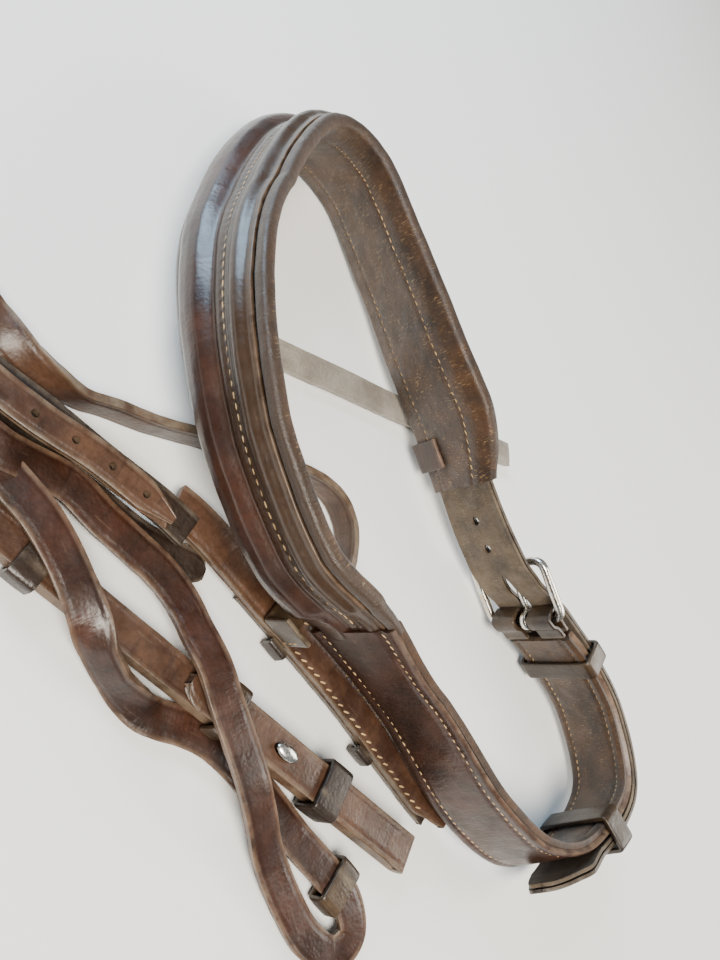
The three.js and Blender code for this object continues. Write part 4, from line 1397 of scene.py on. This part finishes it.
@dataclass
class OffCheek:
    """The off cheekpiece: a strap folded back over its hook stud, with a keeper and two runners."""

    fold: tuple[float, float] = (102.9, -35.4)
    angle: float = 33.5
    length: float = 176.0
    back: float = 84.0
    floor: float = 3.0
    leather: float = 2.6
    width: float = 10.0
    stud: float = 53.0

    def place(self, distance: float) -> Matrix:
        """The strap's axes at a distance back from its fold."""
        turn = Matrix.Rotation(math.radians(self.angle), 4, "Z")
        spot = Vector((*self.fold, 0)) + turn @ Vector((-distance, 0, 0))
        return Matrix.Translation(spot * MM + SHIFT) @ turn

    def build(self, palette: Palette) -> None:
        """Builds the strap, the stud, the keeper and both runners."""
        self._strap(palette)
        self._stud(palette)
        self._loops(palette)

    def _strap(self, palette: Palette) -> None:
        """Folds the strap, rounds its returned tip and cuts the stud's keyhole."""
        low, high = self.floor, self.floor + 2 * self.leather + 0.4
        path = folded([(-self.length, low), (0, low), (0, high), (-self.back - 1.0, high)], 2.8)
        total = (self.length + self.back + high - low) * MM
        half = self.width / 2

        def shaper(along: Array, across: Array) -> tuple[Array, Array, Array]:
            x, z = path(along)
            from_end = (1 - along) * total / MM
            share = np.clip(from_end / half, 0, 1)
            tip = half * np.maximum(np.sqrt(1 - (1 - share) ** 2), 0.25)
            y = (0.5 - across) * 2 * tip * MM
            rim = np.minimum(across, 1 - across) * self.width
            inset = 0.2 * np.exp(-((rim - 1.2) / 0.35) ** 2) + 0.3 * np.exp(-rim / 0.5)
            top = np.where(z > 5.8 * MM, -1.0, 1.0)
            flat = 1 - np.exp(-((x / MM) / 4) ** 2)
            wave = 0.1 * uneven(x, y, 5.0, 2.7) * flat
            return x, y, z + top * (inset * flat + np.abs(wave)) * MM

        strap = sheet("off_cheek_folded_strap", 420, 20, shaper, self.leather - 0.2, edge=0.4)
        hole = Matrix.Translation((-self.stud * MM, 0, (high - 1.3) * MM))
        drill(strap, [hole], 1.6, 3.2, 2.4)
        for distance in (28.0, 66.0, 112.0, 124.0, 148.0):
            drill(strap, [Matrix.Translation((-distance * MM, 0, (low + 1.3) * MM))], 0.9, 2.9)
        put(strap, self.place(0))
        finish_with(smooth(strap), palette.oak, palette.flesh, palette.edge)
        deliver(strap, "bridle", "leather_olive", "off_cheek_strap")

    def _stud(self, palette: Palette) -> None:
        """Turns the stud and flattens it along the strap."""
        brow = self.floor + 2 * self.leather + 0.4
        bpy.ops.object.select_all(action="DESELECT")
        bpy.ops.mesh.primitive_uv_sphere_add(segments=32, ring_count=24, radius=1)
        stud = named(bpy.context.object, "hook_stud_head")
        rows = vertices(stud)
        up = (rows[:, 2] + 1) / 2
        foot = self.floor + self.leather + 0.1
        height = foot + up * (brow + 2.3 - foot)
        girth = np.interp(height, [foot, foot + 0.2, brow + 0.2, brow + 0.9, brow + 1.4, brow + 2.0, brow + 2.3],
                          [0.3, 1.0, 1.0, 1.7, 2.0, 1.4, 0.0])
        around = np.hypot(rows[:, 0], rows[:, 1]) + 1e-9
        rows = np.column_stack((rows[:, 0] / around * girth * 1.9, rows[:, 1] / around * girth, height))
        move_vertices(stud, rows * MM)
        put(stud, self.place(self.stud))
        finish_with(smooth(stud, 60), palette.metal)
        deliver(stud, "bridle", "buckle_metal", "hook_stud")

    def _loops(self, palette: Palette) -> None:
        """Builds the runner near the fold, the sewn keeper and the upper runner."""
        side, low, high = self.width / 2 + 0.5, self.floor - 0.4, self.floor + 2 * self.leather + 0.8
        for name, node, body, distance, top, length in (
            ("off_cheek_runner_loop", "off_cheek_runner", "cheek_loop", 35.0, high, 8),
            ("off_cheek_upper_runner_loop", "off_cheek_upper_runner", "cheek_upper_loop", 130.0,
             self.floor + self.leather + 0.4, 7),
        ):
            loop = band(name, loop_path((-side, side), (low, top), 1.4, 1.9), 0.0, length, 1.4,
                        closed=True, columns=72)
            put(loop, self.place(distance))
            finish_with(smooth(loop), palette.dark, palette.flesh, palette.dark_edge)
            deliver(loop, body, "leather_dark", node)
        edge = side + 1.1
        path = folded([(-edge, self.floor), (-edge, high + 1.2), (edge, high + 1.2), (edge, self.floor)], 2.0)
        keeper = band("off_cheek_keeper_loop", path, 0.0, 5, 1.2)
        put(keeper, self.place(72))
        finish_with(smooth(keeper), palette.olive, palette.flesh, palette.edge)
        deliver(keeper, "bridle", "leather_olive", "off_cheek_keeper")


@dataclass
class ThroatRunner:
    """The loop on the throatlatch."""

    station: float = 21.5

    def build(self, palette: Palette) -> None:
        """Builds the loop flat on the table, square to the strap."""
        axes = Line(THROAT_LINE).place(self.station)
        along = axes.col[0].xyz
        along.z = 0
        along.normalize()
        up = Vector((0, 0, 1))
        flat = Matrix((along, up.cross(along), up)).transposed().to_4x4()
        flat.translation = (axes.translation.x, axes.translation.y, SHIFT.z)
        loop = band("throatlatch_runner", loop_path((-5.1, 5.1), (1.8, 5.2), 1.4, 1.9), 0.0, 7, 1.4,
                    closed=True, columns=72)
        put(loop, flat)
        finish_with(smooth(loop), palette.olive, palette.flesh, palette.edge)
        deliver(loop, "throat_loop", "leather_olive", "throat_runner")


@dataclass
class Studio:
    """The pale table, the soft lights and the camera over the noseband."""

    eye: tuple[float, float, float] = (0.0, -179.8, 173.7)
    right: tuple[float, float, float] = (0.309, 0.661, 0.684)
    up: tuple[float, float, float] = (-0.951, 0.215, 0.222)
    back: tuple[float, float, float] = (0.0, -0.719, 0.695)
    lens: float = 29.85
    floor_tone: Colour = (0.86, 0.86, 0.85)

    def build(self) -> None:
        """Lays the table and hangs the lights and the camera."""
        bpy.ops.object.select_all(action="DESELECT")
        bpy.ops.mesh.primitive_plane_add(size=8)
        table = named(bpy.context.object, "table")
        mix = Mixture("table_top")
        mix.set(Base_Color=(*self.floor_tone, 1), Roughness=0.75)
        finish_with(table, mix.material)
        self._light("window", (-0.80, -0.10, 0.40), (0.45, 0.55), 11.0, (0.55, 0.78, 1.0))
        self._light("ceiling", (0.25, -0.55, 1.1), (0.6, 0.6), 33.0, (1.0, 0.93, 0.82))
        self._light("bounce", (0.45, 0.75, 0.55), (0.5, 0.5), 6.0, (1.0, 0.95, 0.86))
        world = bpy.data.worlds.new("room")
        world.use_nodes = True
        world.node_tree.nodes["Background"].inputs["Color"].default_value = (0.86, 0.88, 0.9, 1)
        world.node_tree.nodes["Background"].inputs["Strength"].default_value = 0.26
        bpy.context.scene.world = world
        camera = bpy.data.cameras.new("camera")
        camera.lens = self.lens
        camera.sensor_width = 36
        camera.clip_start = 0.01
        eye = bpy.data.objects.new("camera", camera)
        axes = Matrix((Vector(self.right).normalized(), Vector(self.up).normalized(),
                       Vector(self.back).normalized())).transposed().to_4x4()
        axes.translation = Vector(self.eye) * MM + SHIFT
        eye.matrix_world = axes
        bpy.context.scene.collection.objects.link(eye)
        bpy.context.scene.camera = eye

    def _light(self, name: str, place: tuple[float, float, float], size: tuple[float, float], power: float,
               tone: Colour) -> None:
        """Hangs one soft light facing the noseband."""
        lamp = bpy.data.lights.new(name, "AREA")
        lamp.shape = "RECTANGLE"
        lamp.size, lamp.size_y = size
        lamp.energy = power
        lamp.color = tone
        holder = bpy.data.objects.new(name, lamp)
        holder.location = place
        holder.rotation_euler = (-Vector(place)).to_track_quat("-Z", "Y").to_euler()
        bpy.context.scene.collection.objects.link(holder)


def build_straps(palette: Palette) -> None:
    """Builds the single straps that lie with the noseband."""
    p = palette
    near_rows = (-3.9, 3.9)
    for strap, face, back, edge in (
        (FlatStrap("sliphead_near_strap", "sliphead_near", "leather_oak", NEAR_SLIPHEAD_LINE, 9, seed=1.3),
         p.oak, p.flesh, p.edge),
        (FlatStrap("sliphead_off_strap", "sliphead_off", "leather_olive", OFF_SLIPHEAD_LINE, 9.5, seed=2.1),
         # Its face carries the painted sheen finish.
         p.painted_sheen, p.olive, p.edge),
        (FlatStrap("near_cheek_sewn_strap", "near_cheek_strap", "leather_havana", NEAR_CHEEK_LINE, 11,
                   tip=TipShape.POINT, rows=near_rows, thread=COARSE_THREAD, seed=0.7, start=0.75,
                   sewn=(2.15, 4.3)),
         p.oak, p.flesh, p.edge),
        (FlatStrap("near_cheek_under_strap", "near_cheek_backing", "leather_dark", CHEEK_BACKING_LINE, 10,
                   seed=4.2), p.dark, p.flesh, p.dark_edge),
        (FlatStrap("near_billet_strap", "near_billet", "leather_oak", NEAR_BILLET_LINE, 8,
                   tip=TipShape.POINT, holes=(9, 19, 29, 39, 49), seed=3.3), p.oak, p.flesh, p.edge),
        (FlatStrap("long_billet_strap", "long_billet", "leather_dark", LONG_BILLET_LINE, 9, seed=5.1),
         p.dark, p.flesh, p.dark_edge),
        (FlatStrap("off_billet_strap", "off_billet", "leather_dark", OFF_BILLET_LINE, 9,
                   tip=TipShape.ROUND, seed=6.3), p.dark, p.flesh, p.dark_edge),
        (FlatStrap("throatlatch_strap", "throat_strap", "leather_havana", THROAT_LINE, 9.2,
                   tip=TipShape.ROUND, seed=2.9), p.red, p.flesh, p.edge),
        (FlatStrap("crown_lining_strap", "crown_lining", "leather_lining", level(CROWN_LINE, 1.3), 33,
                   thickness=2.0, seed=1.1), p.lining, p.lining, p.edge),
        (FlatStrap("crown_outer_strap", "crown_strap", "leather_havana", level(CROWN_LINE, 3.7), 34,
                   thickness=2.0, rows=(-14, 14), seed=3.9), p.red, p.flesh, p.edge),
    ):
        strap.build(face, back, edge, p.thread)


def main() -> None:
    """Builds each sub-assembly in order, then the studio."""
    logging.basicConfig(level=logging.INFO)
    palette = mix_palette()
    for part in (Nosepiece(), Hangers(), ChinStrap(), Billet(), Buckle(), NosebandLoops()):
        part.build(palette)
    build_straps(palette)
    for part in (CheekLoops(), OffCheek(), ThroatRunner()):
        part.build(palette)
    Studio().build()


if __name__ == "__main__":
    main()
